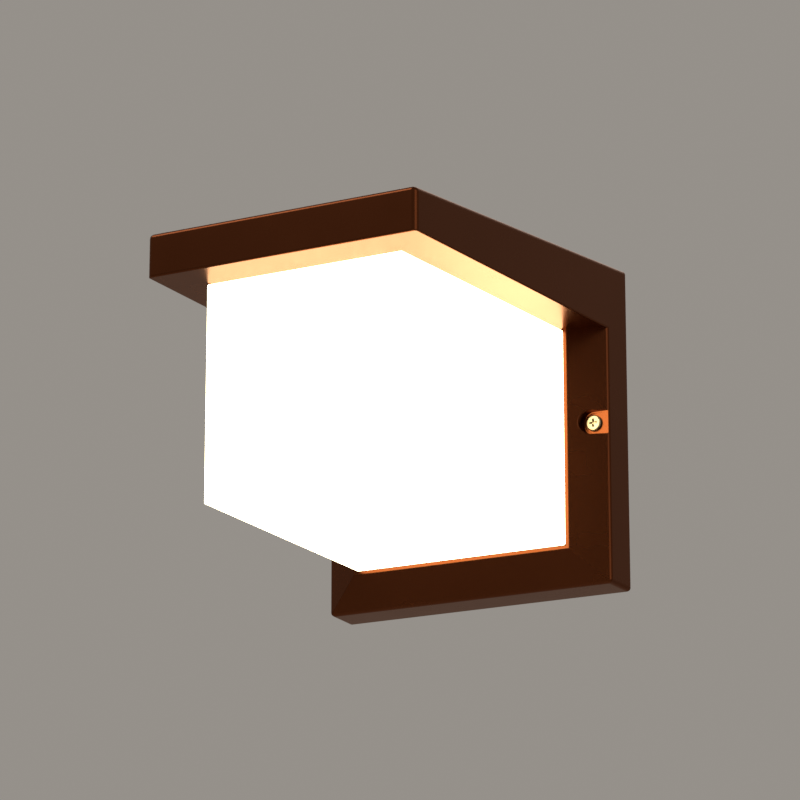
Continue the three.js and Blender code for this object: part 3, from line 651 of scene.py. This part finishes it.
# Radii of the edges that run between two corners, on both sides, and of those that cross over
# from one side to the other at a corner.
EDGE_RADII = {
    ("FrontTop", "FrontBottom"): 0.0034,
    ("RearTop", "FrontTop"): 0.0034,
    ("RearBottom", "FrontBottom"): 0.0011,
    ("RearTop", "RearBottom"): 0.001,
    ("WallBottom", "RimBottom"): 0.003,
    ("RimTop", "RimBottom"): 0.0016,
    ("LandTop", "LandBottom"): 0.0005,
    ("RimBottom", "LandBottom"): 0.0005,
    ("WallTop", "WallBottom"): 0.001,
}
CROSS_RADII = {
    "FrontTop": 0.0026,
    "FrontBottom": 0.0014,
    "RearTop": 0.001,
    "RimBottom": 0.0018,
    "LandBottom": 0.0005,
    "WallBottom": 0.001,
}
WIDEST = max(*EDGE_RADII.values(), *CROSS_RADII.values())
CAVITY_EDGE = 0.0012  # what the widest of them comes down to inside the cavity

CANOPY_FACES = [
    ("rRearBottom", "lRearBottom", "lRearTop", "rRearTop"),
    ("lRearTop", "lFrontTop", "rFrontTop", "rRearTop"),
    ("lFrontTop", "lFrontBottom", "rFrontBottom", "rFrontTop"),
    ("lFrontBottom", "lRearBottom", "rRearBottom", "rFrontBottom"),
    ("rRearBottom", "rRearTop", "rFrontTop", "rFrontBottom"),
    ("lRearTop", "lRearBottom", "lFrontBottom", "lFrontTop"),
]
PLATE_FACES = [
    ("rWallBottom", "lWallBottom", "lWallTop", "rWallTop"),
    ("lWallTop", "lRimTop", "lLandTop", "rLandTop", "rRimTop", "rWallTop"),
    ("lWallBottom", "rWallBottom", "rRimBottom", "lRimBottom"),
    ("rWallBottom", "rWallTop", "rRimTop", "rRimBottom"),
    ("lWallTop", "lWallBottom", "lRimBottom", "lRimTop"),
    ("rRimBottom", "rRimTop", "rLandTop", "rLandBottom"),
    ("lRimTop", "lRimBottom", "lLandBottom", "lLandTop"),
    ("lRimBottom", "rRimBottom", "rLandBottom", "lLandBottom"),
    ("lLandBottom", "rLandBottom", "rLandTop", "lLandTop"),
]
PLATE_IN_CANOPY = 0.010  # how far the plate runs up inside the canopy
SEAM = 0.00002  # the plate's sides lie this far inside the canopy's, so that no faces coincide


def form_corners(skin, rear, land):
    """The corners of the canopy and the plate, or of the cavity that lies a skin inside them."""
    wall_half = housing.right + DRAFT * housing.near
    rise = (housing.top - CANOPY_TOP) / (housing.far - housing.near)

    def half(depth):
        return wall_half - DRAFT * depth - skin

    def top(depth):
        return housing.top - rise * (depth - housing.near) - skin

    def bottom(depth):
        return housing.bottom + DRAFT * (depth - housing.near) + skin

    front = housing.far - skin
    underside = UNDERSIDE + skin
    rim = RIM_DEPTH - skin * (math.hypot(1, FRAME_SLOPE) - FRAME_SLOPE)
    run = (land - rim) / FRAME_SLOPE
    below = (LAND_BOTTOM - bottom(RIM_DEPTH) + skin) * FRAME_SLOPE / (LAND_DEPTH - RIM_DEPTH)
    plate_top = underside + PLATE_IN_CANOPY
    places = {
        "RearBottom": (half(rear), rear, underside),
        "RearTop": (half(rear), rear, top(rear)),
        "FrontTop": (half(front), front, top(front)),
        "FrontBottom": (half(front), front, underside),
        "WallBottom": (half(rear) - SEAM, rear, bottom(rear)),
        "WallTop": (half(rear) - SEAM, rear, plate_top),
        "RimTop": (half(rim) - SEAM, rim, plate_top),
        "RimBottom": (half(rim) - SEAM, rim, bottom(rim)),
        "LandTop": (half(rim) - run, land, plate_top),
        "LandBottom": (half(rim) - run, land, bottom(rim) + run * below),
    }
    return {
        side + key: (sign * x, -depth, z)
        for side, sign in (("l", -1), ("r", 1))
        for key, (x, depth, z) in places.items()
    }


def form_solid(corners, form_faces, largest):
    """One solid of the housing's form. Its edge radii are scaled so that the widest is largest."""
    names = sorted({name for face in form_faces for name in face})
    index = {name: i for i, name in enumerate(names)}
    faces = [[index[name] for name in face] for face in form_faces]
    made = from_faces([corners[name] for name in names], faces)
    radii = {}
    for (a, b), radius in EDGE_RADII.items():
        for side in "lr":
            radii[frozenset((side + a, side + b))] = radius
    for key, radius in CROSS_RADII.items():
        radii[frozenset(("l" + key, "r" + key))] = radius
    weights = made.data.attributes.new("bevel_weight_edge", "FLOAT", "EDGE")
    for edge in made.data.edges:
        ends = frozenset(names[i] for i in edge.vertices)
        weights.data[edge.index].value = radii.get(ends, 0) / WIDEST
    bevel = made.modifiers.new("bevel", "BEVEL")
    bevel.limit_method = "WEIGHT"
    bevel.width = largest
    bevel.segments = 6
    return settle(made)


def housing_form(skin, rear, land, largest=WIDEST):
    """The housing's form as a solid: the plate on the wall joined to the canopy."""
    corners = form_corners(skin, rear, land)
    canopy = form_solid(corners, CANOPY_FACES, largest)
    return join(canopy, form_solid(corners, PLATE_FACES, largest))


def frame_depth(x):
    """Depth of the mitred frame's sloping side at a distance from the middle."""
    return LAND_DEPTH - (x - LAND_HALF) * FRAME_SLOPE


def pocket_tool(side, centre):
    """The round-ended pocket for a fixing screw: open outwards, with a rounded lip and floor."""
    outline = []
    steps = 24
    edge = housing.right + OVER
    for k in range(steps + 1):
        angle = math.pi / 2 + math.pi * k / steps
        outline.append((centre, 0, math.cos(angle), math.sin(angle)))
    outline.insert(0, (edge, 0, 0, 1))
    outline.append((edge, 0, 0, -1))

    def ring(grow, depth_at):
        made = []
        for x, z, across, up in outline:
            reach = POCKET_RADIUS + grow
            px, pz = x + across * reach, z + up * reach
            made.append((side * px, -depth_at(px), pz))
        return made

    near_corner = POCKET_FILLET / 4
    rings = [
        ring(-POCKET_FILLET, lambda x: POCKET_DEPTH),
        ring(-near_corner, lambda x: POCKET_DEPTH + near_corner),
        ring(0, lambda x: POCKET_DEPTH + POCKET_FILLET),
    ]
    lip_steps = 3
    for k in range(lip_steps + 1):
        turn = k / lip_steps * TAU / 4
        grow = POCKET_LIP * (1 - math.cos(turn))
        drop = POCKET_LIP * (1 - math.sin(turn))
        rings.append(
            ring(grow, lambda x, drop=drop: max(frame_depth(x) - drop, POCKET_DEPTH + OVER))
        )
    rings.append(ring(POCKET_LIP, lambda x: LAND_DEPTH + OVER))
    return loops(rings)


def diffuser_screw_places():
    return [Extent(f"diffuser_screw_{i}") for i in (1, 2, 3, 4)]


def make_housing():
    """The casting: hollow behind, with a window for the lamp and a pocket for each fixing screw."""
    cavity_end = REBATE_DEPTH - SKIN
    cavity = housing_form(SKIN, -OVER, cavity_end, CAVITY_EDGE)
    backings, tools = [], []
    for side, name in ((-1, "left"), (1, "right")):
        centre = abs(Extent(f"fixing_screw_{name}").x)
        reach = POCKET_RADIUS + POCKET_BACKING
        sides = sorted((side * (centre - reach), side * (housing.right + OVER)))
        backings.append(
            block(*sides, POCKET_DEPTH - POCKET_BACKING, LAND_DEPTH, -reach, reach, 0.001)
        )
        tools.append(pocket_tool(side, centre))
        behind = POCKET_DEPTH - 2 * POCKET_BACKING
        tools.append(rod(side * centre, 0, FIXING_HOLE, behind, LAND_DEPTH))
    rebate = grown((diffuser.left, diffuser.right, diffuser.bottom, diffuser.top), REBATE_MARGIN)
    tools.append(block(*rebate[:2], REBATE_DEPTH, LAND_DEPTH + OVER, *rebate[2:]))
    tools.append(block(*WINDOW[:2], cavity_end - OVER, LAND_DEPTH + OVER, *WINDOW[2:]))
    for place in diffuser_screw_places():
        hole = (place.x, place.z, DIFFUSER_SCREW_HOLE)
        tools.append(rod(*hole, cavity_end - OVER, LAND_DEPTH + OVER))
    shell = housing_form(0, housing.near, LAND_DEPTH)
    piece(cut(shell, cut(cavity, *backings), *tools), "housing", suffix="casting", sharp=28)


# ------------------------------------------------------------------ diffuser

FRONT_HALF = 0.0672
FRONT_BOTTOM = -0.0754
ACRYLIC = 0.003
DIFFUSER_EDGE = 0.0009
CORNER_BLOCK_HALF = 0.007
CORNER_BLOCK_DEPTH = 0.009
BLIND_END = 0.0015  # what is left of a corner block at the end of its screw hole


def make_diffuser():
    """The opal box, open at the back, with a block for a screw in each corner."""
    back = (diffuser.left, diffuser.right, diffuser.bottom, diffuser.top)
    front = (-FRONT_HALF, FRONT_HALF, FRONT_BOTTOM, diffuser.top)
    shell = frustum(back, diffuser.near, front, diffuser.far, DIFFUSER_EDGE, 4)
    hollow = frustum(
        grown(back, -ACRYLIC), diffuser.near - OVER,
        grown(front, -ACRYLIC), diffuser.far - ACRYLIC, 0.001,
    )
    blocks, holes = [], []
    end = diffuser.near + CORNER_BLOCK_DEPTH
    half = CORNER_BLOCK_HALF
    for place in diffuser_screw_places():
        x, z = place.x, place.z
        sides = (x - half, x + half, diffuser.near - 2 * OVER, end, z - half, z + half)
        blocks.append(block(*sides, 0.0008))
        hole = (x, z, DIFFUSER_SCREW_HOLE)
        holes.append(rod(*hole, diffuser.near - OVER, end - BLIND_END, 32))
    piece(cut(shell, cut(hollow, *blocks), *holes), "diffuser", suffix="shade", sharp=28)


def make_gasket():
    """The diffuser's gasket: a flat band with a shallow groove along its front."""
    gasket = Extent("diffuser_gasket")
    rect = (gasket.left, gasket.right, gasket.bottom, gasket.top)
    near, far = gasket.near, gasket.far
    width = 0.0052
    edge = 0.0003
    profile = [
        (edge, near), (width - edge, near), (width, near + edge), (width, far - edge),
        (width - edge, far), (width * 0.62, far), (width / 2, far - 0.0002), (width * 0.38, far),
        (edge, far), (0, far - edge), (0, near + edge),
    ]
    piece(band(rect, profile, 0.002), "diffuser_gasket", suffix="band")


# ------------------------------------------------------------------ screws


def cross_tools(crown, span, width, deep):
    """The two crossed wings of a cross recess in a head whose face is at a depth."""
    wings = []
    taper = 0.62  # the recess's floor against its mouth
    above = 1 + (1 - taper) * OVER / deep
    for half_x, half_z in ((span / 2, width / 2), (width / 2, span / 2)):
        mouth = (-half_x, half_x, -half_z, half_z)
        floor = tuple(taper * side for side in mouth)
        top = tuple(above * side for side in mouth)
        wings.append(frustum(floor, crown - deep, top, crown + OVER))
    return wings


def pan_screw(head, height, shank, length, pitch):
    """A pan-head machine screw whose head bears at depth 0 and whose tip is towards the wall."""
    tip = -length
    plain = 0.0006  # the length under the head that has no thread
    thread = Thread(tip + 0.4 * shank, -plain, pitch, pitch * 0.55, (shank,))
    outline = [
        (0, tip),
        (shank * 0.72, tip),
        (shank, tip + 0.4 * shank),
        (shank, 0),
        (head, 0, 0.0001),
        (head, height * 0.7, head * 0.2),
        (head * 0.88, height, head * 0.25),
        (0, height),
    ]
    made = lathe(outline, segments=64, thread=thread)
    return cut(made, *cross_tools(height, head * 1.08, head * 0.29, height * 0.8))


def slotted_screw(head, height, shank, length):
    """A slotted cheese-head screw whose head bears at depth 0."""
    outline = [
        (0, -length), (shank, -length, 0.0002), (shank, 0), (head, 0, 0.0001),
        (head, height, 0.0003), (0, height),
    ]
    plain, pitch = 0.0002, 0.0005
    thread = Thread(-length, -plain, pitch, pitch / 2, (shank,))
    half_slot = 0.00035
    slot = block(-2 * head, 2 * head, height * 0.55, height + OVER, -half_slot, half_slot)
    return cut(lathe(outline, segments=40, thread=thread), slot)


def stand_in(shape, node, bearing):
    """A copy of a shape made at the origin, moved to its node's place."""
    place = Extent(node)
    copy = thing(shape.data)
    copy.location = (place.x, -bearing, place.z)
    piece(copy, node, suffix="threaded")


def place_screws(shape, nodes, head_height):
    """Copies of one screw where CAD nodes are. Their heads face away from the wall."""
    for node in nodes:
        stand_in(shape, node, Extent(node).far - head_height)
    bpy.data.objects.remove(shape)


def make_screws():
    """Every screw that points at the wall."""
    # Nodes, head height, shank radius and thread pitch.
    pan_heads = (
        (["fixing_screw_left", "fixing_screw_right"], 0.0019, 0.0025, 0.0008),
        (["lampholder_screw_left", "lampholder_screw_right"], 0.0026, 0.0018, 0.0007),
        (["earth_screw"], 0.0029, 0.002, 0.0007),
        (["terminal_block_screw"], 0.0021, 0.0014, 0.0005),
    )
    for nodes, height, shank, pitch in pan_heads:
        first = Extent(nodes[0])
        length = first.far - first.near - height
        place_screws(pan_screw(first.radius, height, shank, length, pitch), nodes, height)

    # Nodes, head height and shank radius.
    slotted = (
        ([f"terminal_screw_{i}" for i in range(1, 7)], 0.002, 0.0011),
        ([f"lampholder_terminal_screw_{side}" for side in ("left", "right")], 0.002, 0.0015),
    )
    for nodes, height, shank in slotted:
        first = Extent(nodes[0])
        length = first.far - first.near - height
        place_screws(slotted_screw(first.radius, height, shank, length), nodes, height)


def make_diffuser_screws():
    """The diffuser's screws point away from the wall, so their heads are inside the housing."""
    head, height, shank = 0.0038, 0.0028, 0.002
    point, plain = 0.0012, 0.0006  # its taper at the tip, and the bare length under the head
    pitch, crest = 0.0014, 0.0006
    first = Extent("diffuser_screw_1")
    length = first.far - first.near - height
    outline = [
        (0, 0),
        (head * 0.55, 0, head * 0.3),
        (head, height * 0.6, head * 0.3),
        (head, height, 0.0001),
        (shank, height),
        (shank, height + length - point),
        (0.0006, height + length, 0.0003),
        (0, height + length),
    ]
    thread = Thread(height + plain, height + length - point, pitch, crest, (shank,))
    shape = lathe(outline, segments=48, thread=thread)
    wing, narrow, deep = 0.002, 0.00045, 0.0015
    wings = []
    for half_x, half_z in ((wing, narrow), (narrow, wing)):
        mouth = (-half_x, half_x, -half_z, half_z)
        floor = tuple(0.6 * side for side in mouth)
        wings.append(frustum(mouth, -OVER / 4, floor, deep))
    shape = cut(shape, *wings)
    for i in (1, 2, 3, 4):
        node = f"diffuser_screw_{i}"
        stand_in(shape, node, Extent(node).near)
    bpy.data.objects.remove(shape)


def make_washers():
    """The flat washers, under the diffuser's screws and on the fixing screws."""
    # Nodes, bore radius and edge fillet.
    groups = (
        ([f"diffuser_washer_{i}" for i in (1, 2, 3, 4)], 0.0023, 0.0002),
        (["retaining_washer_left", "retaining_washer_right"], 0.0028, 0.0003),
    )
    for nodes, bore, fillet in groups:
        first = Extent(nodes[0])
        rim, thick = first.radius, first.far - first.near
        corners = ((bore, 0), (rim, 0), (rim, thick), (bore, thick))
        shape = lathe([(*corner, fillet) for corner in corners], segments=48)
        for node in nodes:
            stand_in(shape, node, Extent(node).near)
        bpy.data.objects.remove(shape)


# ------------------------------------------------------------------ wall base


def make_wall_base():
    """The base with its terminals, which keep their CAD shapes, and the seal and grommet on it."""
    keep("mounting_base", 0.0005, 3)
    keep("earth_tongue", 0.00018)
    keep("terminal_block", 0.0003)
    for i in (1, 2, 3):
        keep(f"terminal_insert_{i}", 0.0002)

    seal = Extent("perimeter_seal")
    rect = (seal.left, seal.right, seal.bottom, seal.top)
    width, edge = 0.0023, 0.0005
    near, far = seal.near, seal.far
    profile = [
        (edge, near), (width - edge, near), (width, near + edge), (width, far),
        (width * 0.7, far - edge), (width * 0.3, far - edge), (0, far), (0, near + edge),
    ]
    piece(band(rect, profile, 0.003), "perimeter_seal", suffix="band")

    grommet = Extent("cable_grommet")
    bore, groove, plate = 0.0035, 0.0077, 0.0025
    outline = [
        (bore, grommet.near, 0.0004),
        (groove, grommet.near, 0.0005),
        (groove, plate + 0.0003, 0.0002),
        (grommet.radius, plate + 0.0003, 0.0004),
        (grommet.radius, plate + 0.0022, 0.0009),
        (groove, plate + 0.003, 0.0008),
        (0.0054, plate + 0.0034, 0.0008),
        (0.0050, plate + 0.0056),
        (0.0052, plate + 0.0061, 0.0003),
        (0.0046, grommet.far, 0.0003),
        (bore, grommet.far, 0.0003),
    ]
    piece(lathe(outline, grommet.x, grommet.z, 64), "cable_grommet", suffix="moulding")


LEAD_RADIUS = 0.0013


def make_leads():
    """The leads, along the routes of their CAD nodes, as (x, depth, z) in millimetres."""
    routes = {
        "live_lead": [
            (-55, 8, 43), (-55, 8, 37), (-50, 8.5, 29), (-38, 10, 24.5), (-22, 13, 27),
            (-11, 16, 27), (-9, 16.4, 21.6),
        ],
        "neutral_lead": [
            (-45, 8, 43), (-45, 8, 38), (-39, 8.6, 33.5), (-22, 11, 33), (-4, 14, 34),
            (8, 16, 29.5), (9, 16.4, 21.6),
        ],
        "earth_lead": [
            (-35, 8, 43), (-35, 8, 41), (-30, 7.6, 38.6), (-12, 7, 40), (8, 7, 45),
            (20, 7.5, 49.5), (28, 7.9, 50),
        ],
    }
    for node, route in routes.items():
        points = [(x * MM, -depth * MM, z * MM) for x, depth, z in route]
        piece(tube(smooth_route(points), LEAD_RADIUS), node, suffix="insulated")


# ------------------------------------------------------------------ lampholder and lamp


EDISON_PITCH = 0.00362  # of an E27 thread


def make_lampholder():
    """The porcelain body, its threaded shell, and the contacts, which keep their CAD shapes."""
    body = Extent("lampholder_body")
    shell = Extent("lampholder_shell")
    x, z = shell.x, shell.z
    rear, flange, mouth = body.near, 0.0143, body.far
    bore, floor = 0.0146, 0.017
    barrel = lathe([
        (0, rear),
        (0.023, rear, 0.0006),
        (0.023, flange, 0.0012),
        (0.0195, flange, 0.0008),
        (0.0193, flange + 0.011, 0.0004),
        (0.0188, flange + 0.012, 0.0004),
        (0.0186, mouth, 0.001),
        (0, mouth),
    ], x, z, 96)
    lug_x, lug, lug_hole = 0.027, 0.006, 0.0021
    terminal_x, terminal_z, terminal_hole, terminal_floor = 0.009, 0.017, 0.0018, 0.010
    plate = (rear + 0.0001, flange - 0.0001)
    lug_outline = [(0, rear), (lug, rear, 0.0006), (lug, flange, 0.001), (0, flange)]
    lugs = [lathe(lug_outline, side * lug_x, z, 48) for side in (-1, 1)]
    web = block(-lug_x, lug_x, *plate, z - lug, z + lug, 0.0006)
    shelf = block(-0.016, 0.016, *plate, 0.005, 0.021, 0.001)
    body_solid = join(barrel, *lugs, web, shelf)
    holes = [rod(x, z, bore, floor, mouth + OVER, 96)]
    for side in (-1, 1):
        holes.append(rod(side * lug_x, z, lug_hole, rear - OVER, flange + OVER, 32))
        terminal = (side * terminal_x, terminal_z, terminal_hole)
        holes.append(rod(*terminal, terminal_floor, flange + OVER, 32))
    piece(cut(body_solid, *holes), "lampholder_body", suffix="porcelain", sharp=40)

    outer, gauge = shell.radius, 0.0004
    inner = outer - gauge
    start, end = shell.near + 0.002, shell.far - 0.003
    thread = Thread(start, end, EDISON_PITCH, 0.0005, (inner, outer), soft=True)
    outline = [(inner, shell.near), (outer, shell.near), (outer, shell.far), (inner, shell.far)]
    piece(lathe(outline, x, z, 96, thread), "lampholder_shell", suffix="rolled", sharp=50)

    keep("lampholder_contact", 0.0001)
    for side in ("left", "right"):
        keep(f"lampholder_terminal_{side}", 0.0002)


def make_lamp():
    """The lamp, from the contact at its end to its globe."""
    cap = Extent("lamp_cap")
    x, z = cap.x, cap.z
    near, far = cap.near, cap.far
    crest = cap.radius
    thread = Thread(near + 0.0022, far - 0.003, EDISON_PITCH, 0.0009, (crest,), soft=True)
    outline = [
        (0, near),
        (crest - 0.0014, near, 0.0008),
        (crest - 0.0009, near + 0.0018, 0.0005),
        (crest, near + 0.0022, 0.0003),
        (crest, far - 0.003),
        (crest, far - 0.0012),
        (crest - 0.0004, far - 0.001),
        (crest, far - 0.0008),
        (crest, far, 0.0003),
        (0, far),
    ]
    piece(lathe(outline, x, z, 96, thread), "lamp_cap", suffix="rolled", sharp=50)

    contact = Extent("lamp_contact")
    tip, end = contact.near, contact.far
    rim = (0.0048, tip + 0.0008, 0.0005)
    outline = [(0, tip), (0.0034, tip, 0.0006), rim, (0.0048, end), (0, end)]
    piece(lathe(outline, x, z, 64), "lamp_contact", suffix="button")

    glass = Extent("lamp_insulator")
    outline = [
        (0, glass.near), (0.0056, glass.near, 0.0008), (0.0084, glass.near + 0.0012, 0.002),
        (glass.radius, glass.far - 0.0003, 0.0008), (glass.radius, glass.far), (0, glass.far),
    ]
    piece(lathe(outline, x, z, 64), "lamp_insulator", suffix="glass")

    body = Extent("lamp_body")
    start = body.near
    # The flare from the cap to the globe: its radius at depths past the body's start.
    flare = [(14.6, 2.7), (15.6, 6.5), (17.5, 12.7), (20.6, 19), (24, 25.7), (27.2, 32.2)]
    outline = [(0, start), (0.014, start, 0.0005)]
    outline += [(radius * MM, start + depth * MM, 0.004) for radius, depth in flare]
    outline.append((body.radius, body.far - 0.0012, 0.0008))
    outline += [(body.radius, body.far, 0.0004), (0, body.far)]
    piece(lathe(outline, x, z, 96), "lamp_body", suffix="moulding", sharp=30)

    board = Extent("lamp_led_board")
    disc = lathe(
        [(0, board.near), (board.radius, board.near), (board.radius, board.far), (0, board.far)],
        x, z, 64,
    )
    chips = []
    count, circle, half = 10, 0.016, 0.0014
    depths = (board.far - 0.0002, board.far + 0.0007)
    for k in range(count):
        angle = TAU * k / count
        cx, cz = x + circle * math.cos(angle), z + circle * math.sin(angle)
        chips.append(block(cx - half, cx + half, *depths, cz - half, cz + half, 0.0002))
    piece(join(disc, *chips), "lamp_led_board", suffix="populated")

    globe = Extent("lamp_globe")
    wall, mouth, neck = 0.0012, 0.028, 0.0295
    collar, middle = globe.near + 0.0067, globe.near + 0.0157
    steps = 20
    skins = []
    for inset in (0, wall):
        skin = []
        for k in range(steps + 1):
            angle = k / steps * TAU / 4
            reach = (globe.far - inset - middle) * math.sin(angle)
            skin.append(((globe.radius - inset) * math.cos(angle), middle + reach))
        skin[-1] = (0, globe.far - inset)
        skins.append(skin)
    outer = [(mouth, globe.near), (neck, collar, 0.002), *skins[0]]
    inner = [*reversed(skins[1]), (neck - wall, collar, 0.002), (mouth - wall, globe.near)]
    piece(closed_bowl(outer, inner, x, z), "lamp_globe", suffix="opal", sharp=40)


def closed_bowl(outer, inner, x, z):
    """A bowl from an outer outline that ends on the axis and an inner one that starts there."""
    whole = lathe([(0, outer[0][1]), *outer], x, z, 96)
    hollow_mouth = inner[-1][1] - OVER
    hollow = lathe([(0, hollow_mouth), (inner[-1][0], hollow_mouth), *reversed(inner)], x, z, 96)
    return cut(whole, hollow)


# ------------------------------------------------------------------ stage


def add_stage():
    """A plain pale floor below the camera."""
    half, level = 8.0, -2.0
    floor = from_faces(
        [(-half, -half, level), (half, -half, level), (half, half, level), (-half, half, level)],
        [(0, 1, 2, 3)],
    )
    floor.name = "floor"
    s = Surface("floor")
    tone = s.blend(s.noise(0.8, 3), (0.80, 0.785, 0.76), (0.85, 0.835, 0.81))
    floor.data.materials.append(s.done(tone, s.spread(s.noise(3, 3), 0.6, 0.75)))


def add_light(name, place, aim, size, power, colour):
    data = bpy.data.lights.new(name, "AREA")
    data.shape = "DISK"
    data.size = size
    data.energy = power
    data.color = colour
    light = bpy.data.objects.new(name, data)
    light.location = place
    light.rotation_mode = "QUATERNION"
    light.rotation_quaternion = (Vector(aim) - Vector(place)).to_track_quat("-Z", "Y")
    scene.collection.objects.link(light)


def add_lights():
    world = bpy.data.worlds.new("studio")
    world.use_nodes = True
    background = world.node_tree.nodes["Background"]
    background.inputs["Color"].default_value = (0.84, 0.78, 0.71, 1)
    background.inputs["Strength"].default_value = 0.36
    scene.world = world
    centre = (0, -0.12, 0)
    add_light("key", (-1.6, -1.6, 2.2), centre, 1.6, 26, (1.0, 0.95, 0.88))
    add_light("fill", (2.4, -1.2, 0.6), centre, 2.0, 9, (1.0, 0.93, 0.85))
    add_light("rear", (-1.0, 2.4, 1.6), centre, 2.8, 12, (1.0, 0.96, 0.92))
    scene.view_settings.view_transform = "Standard"


add_camera()
make_housing()
make_diffuser()
make_gasket()
make_screws()
make_diffuser_screws()
make_washers()
make_wall_base()
make_leads()
make_lampholder()
make_lamp()
add_stage()
add_lights()
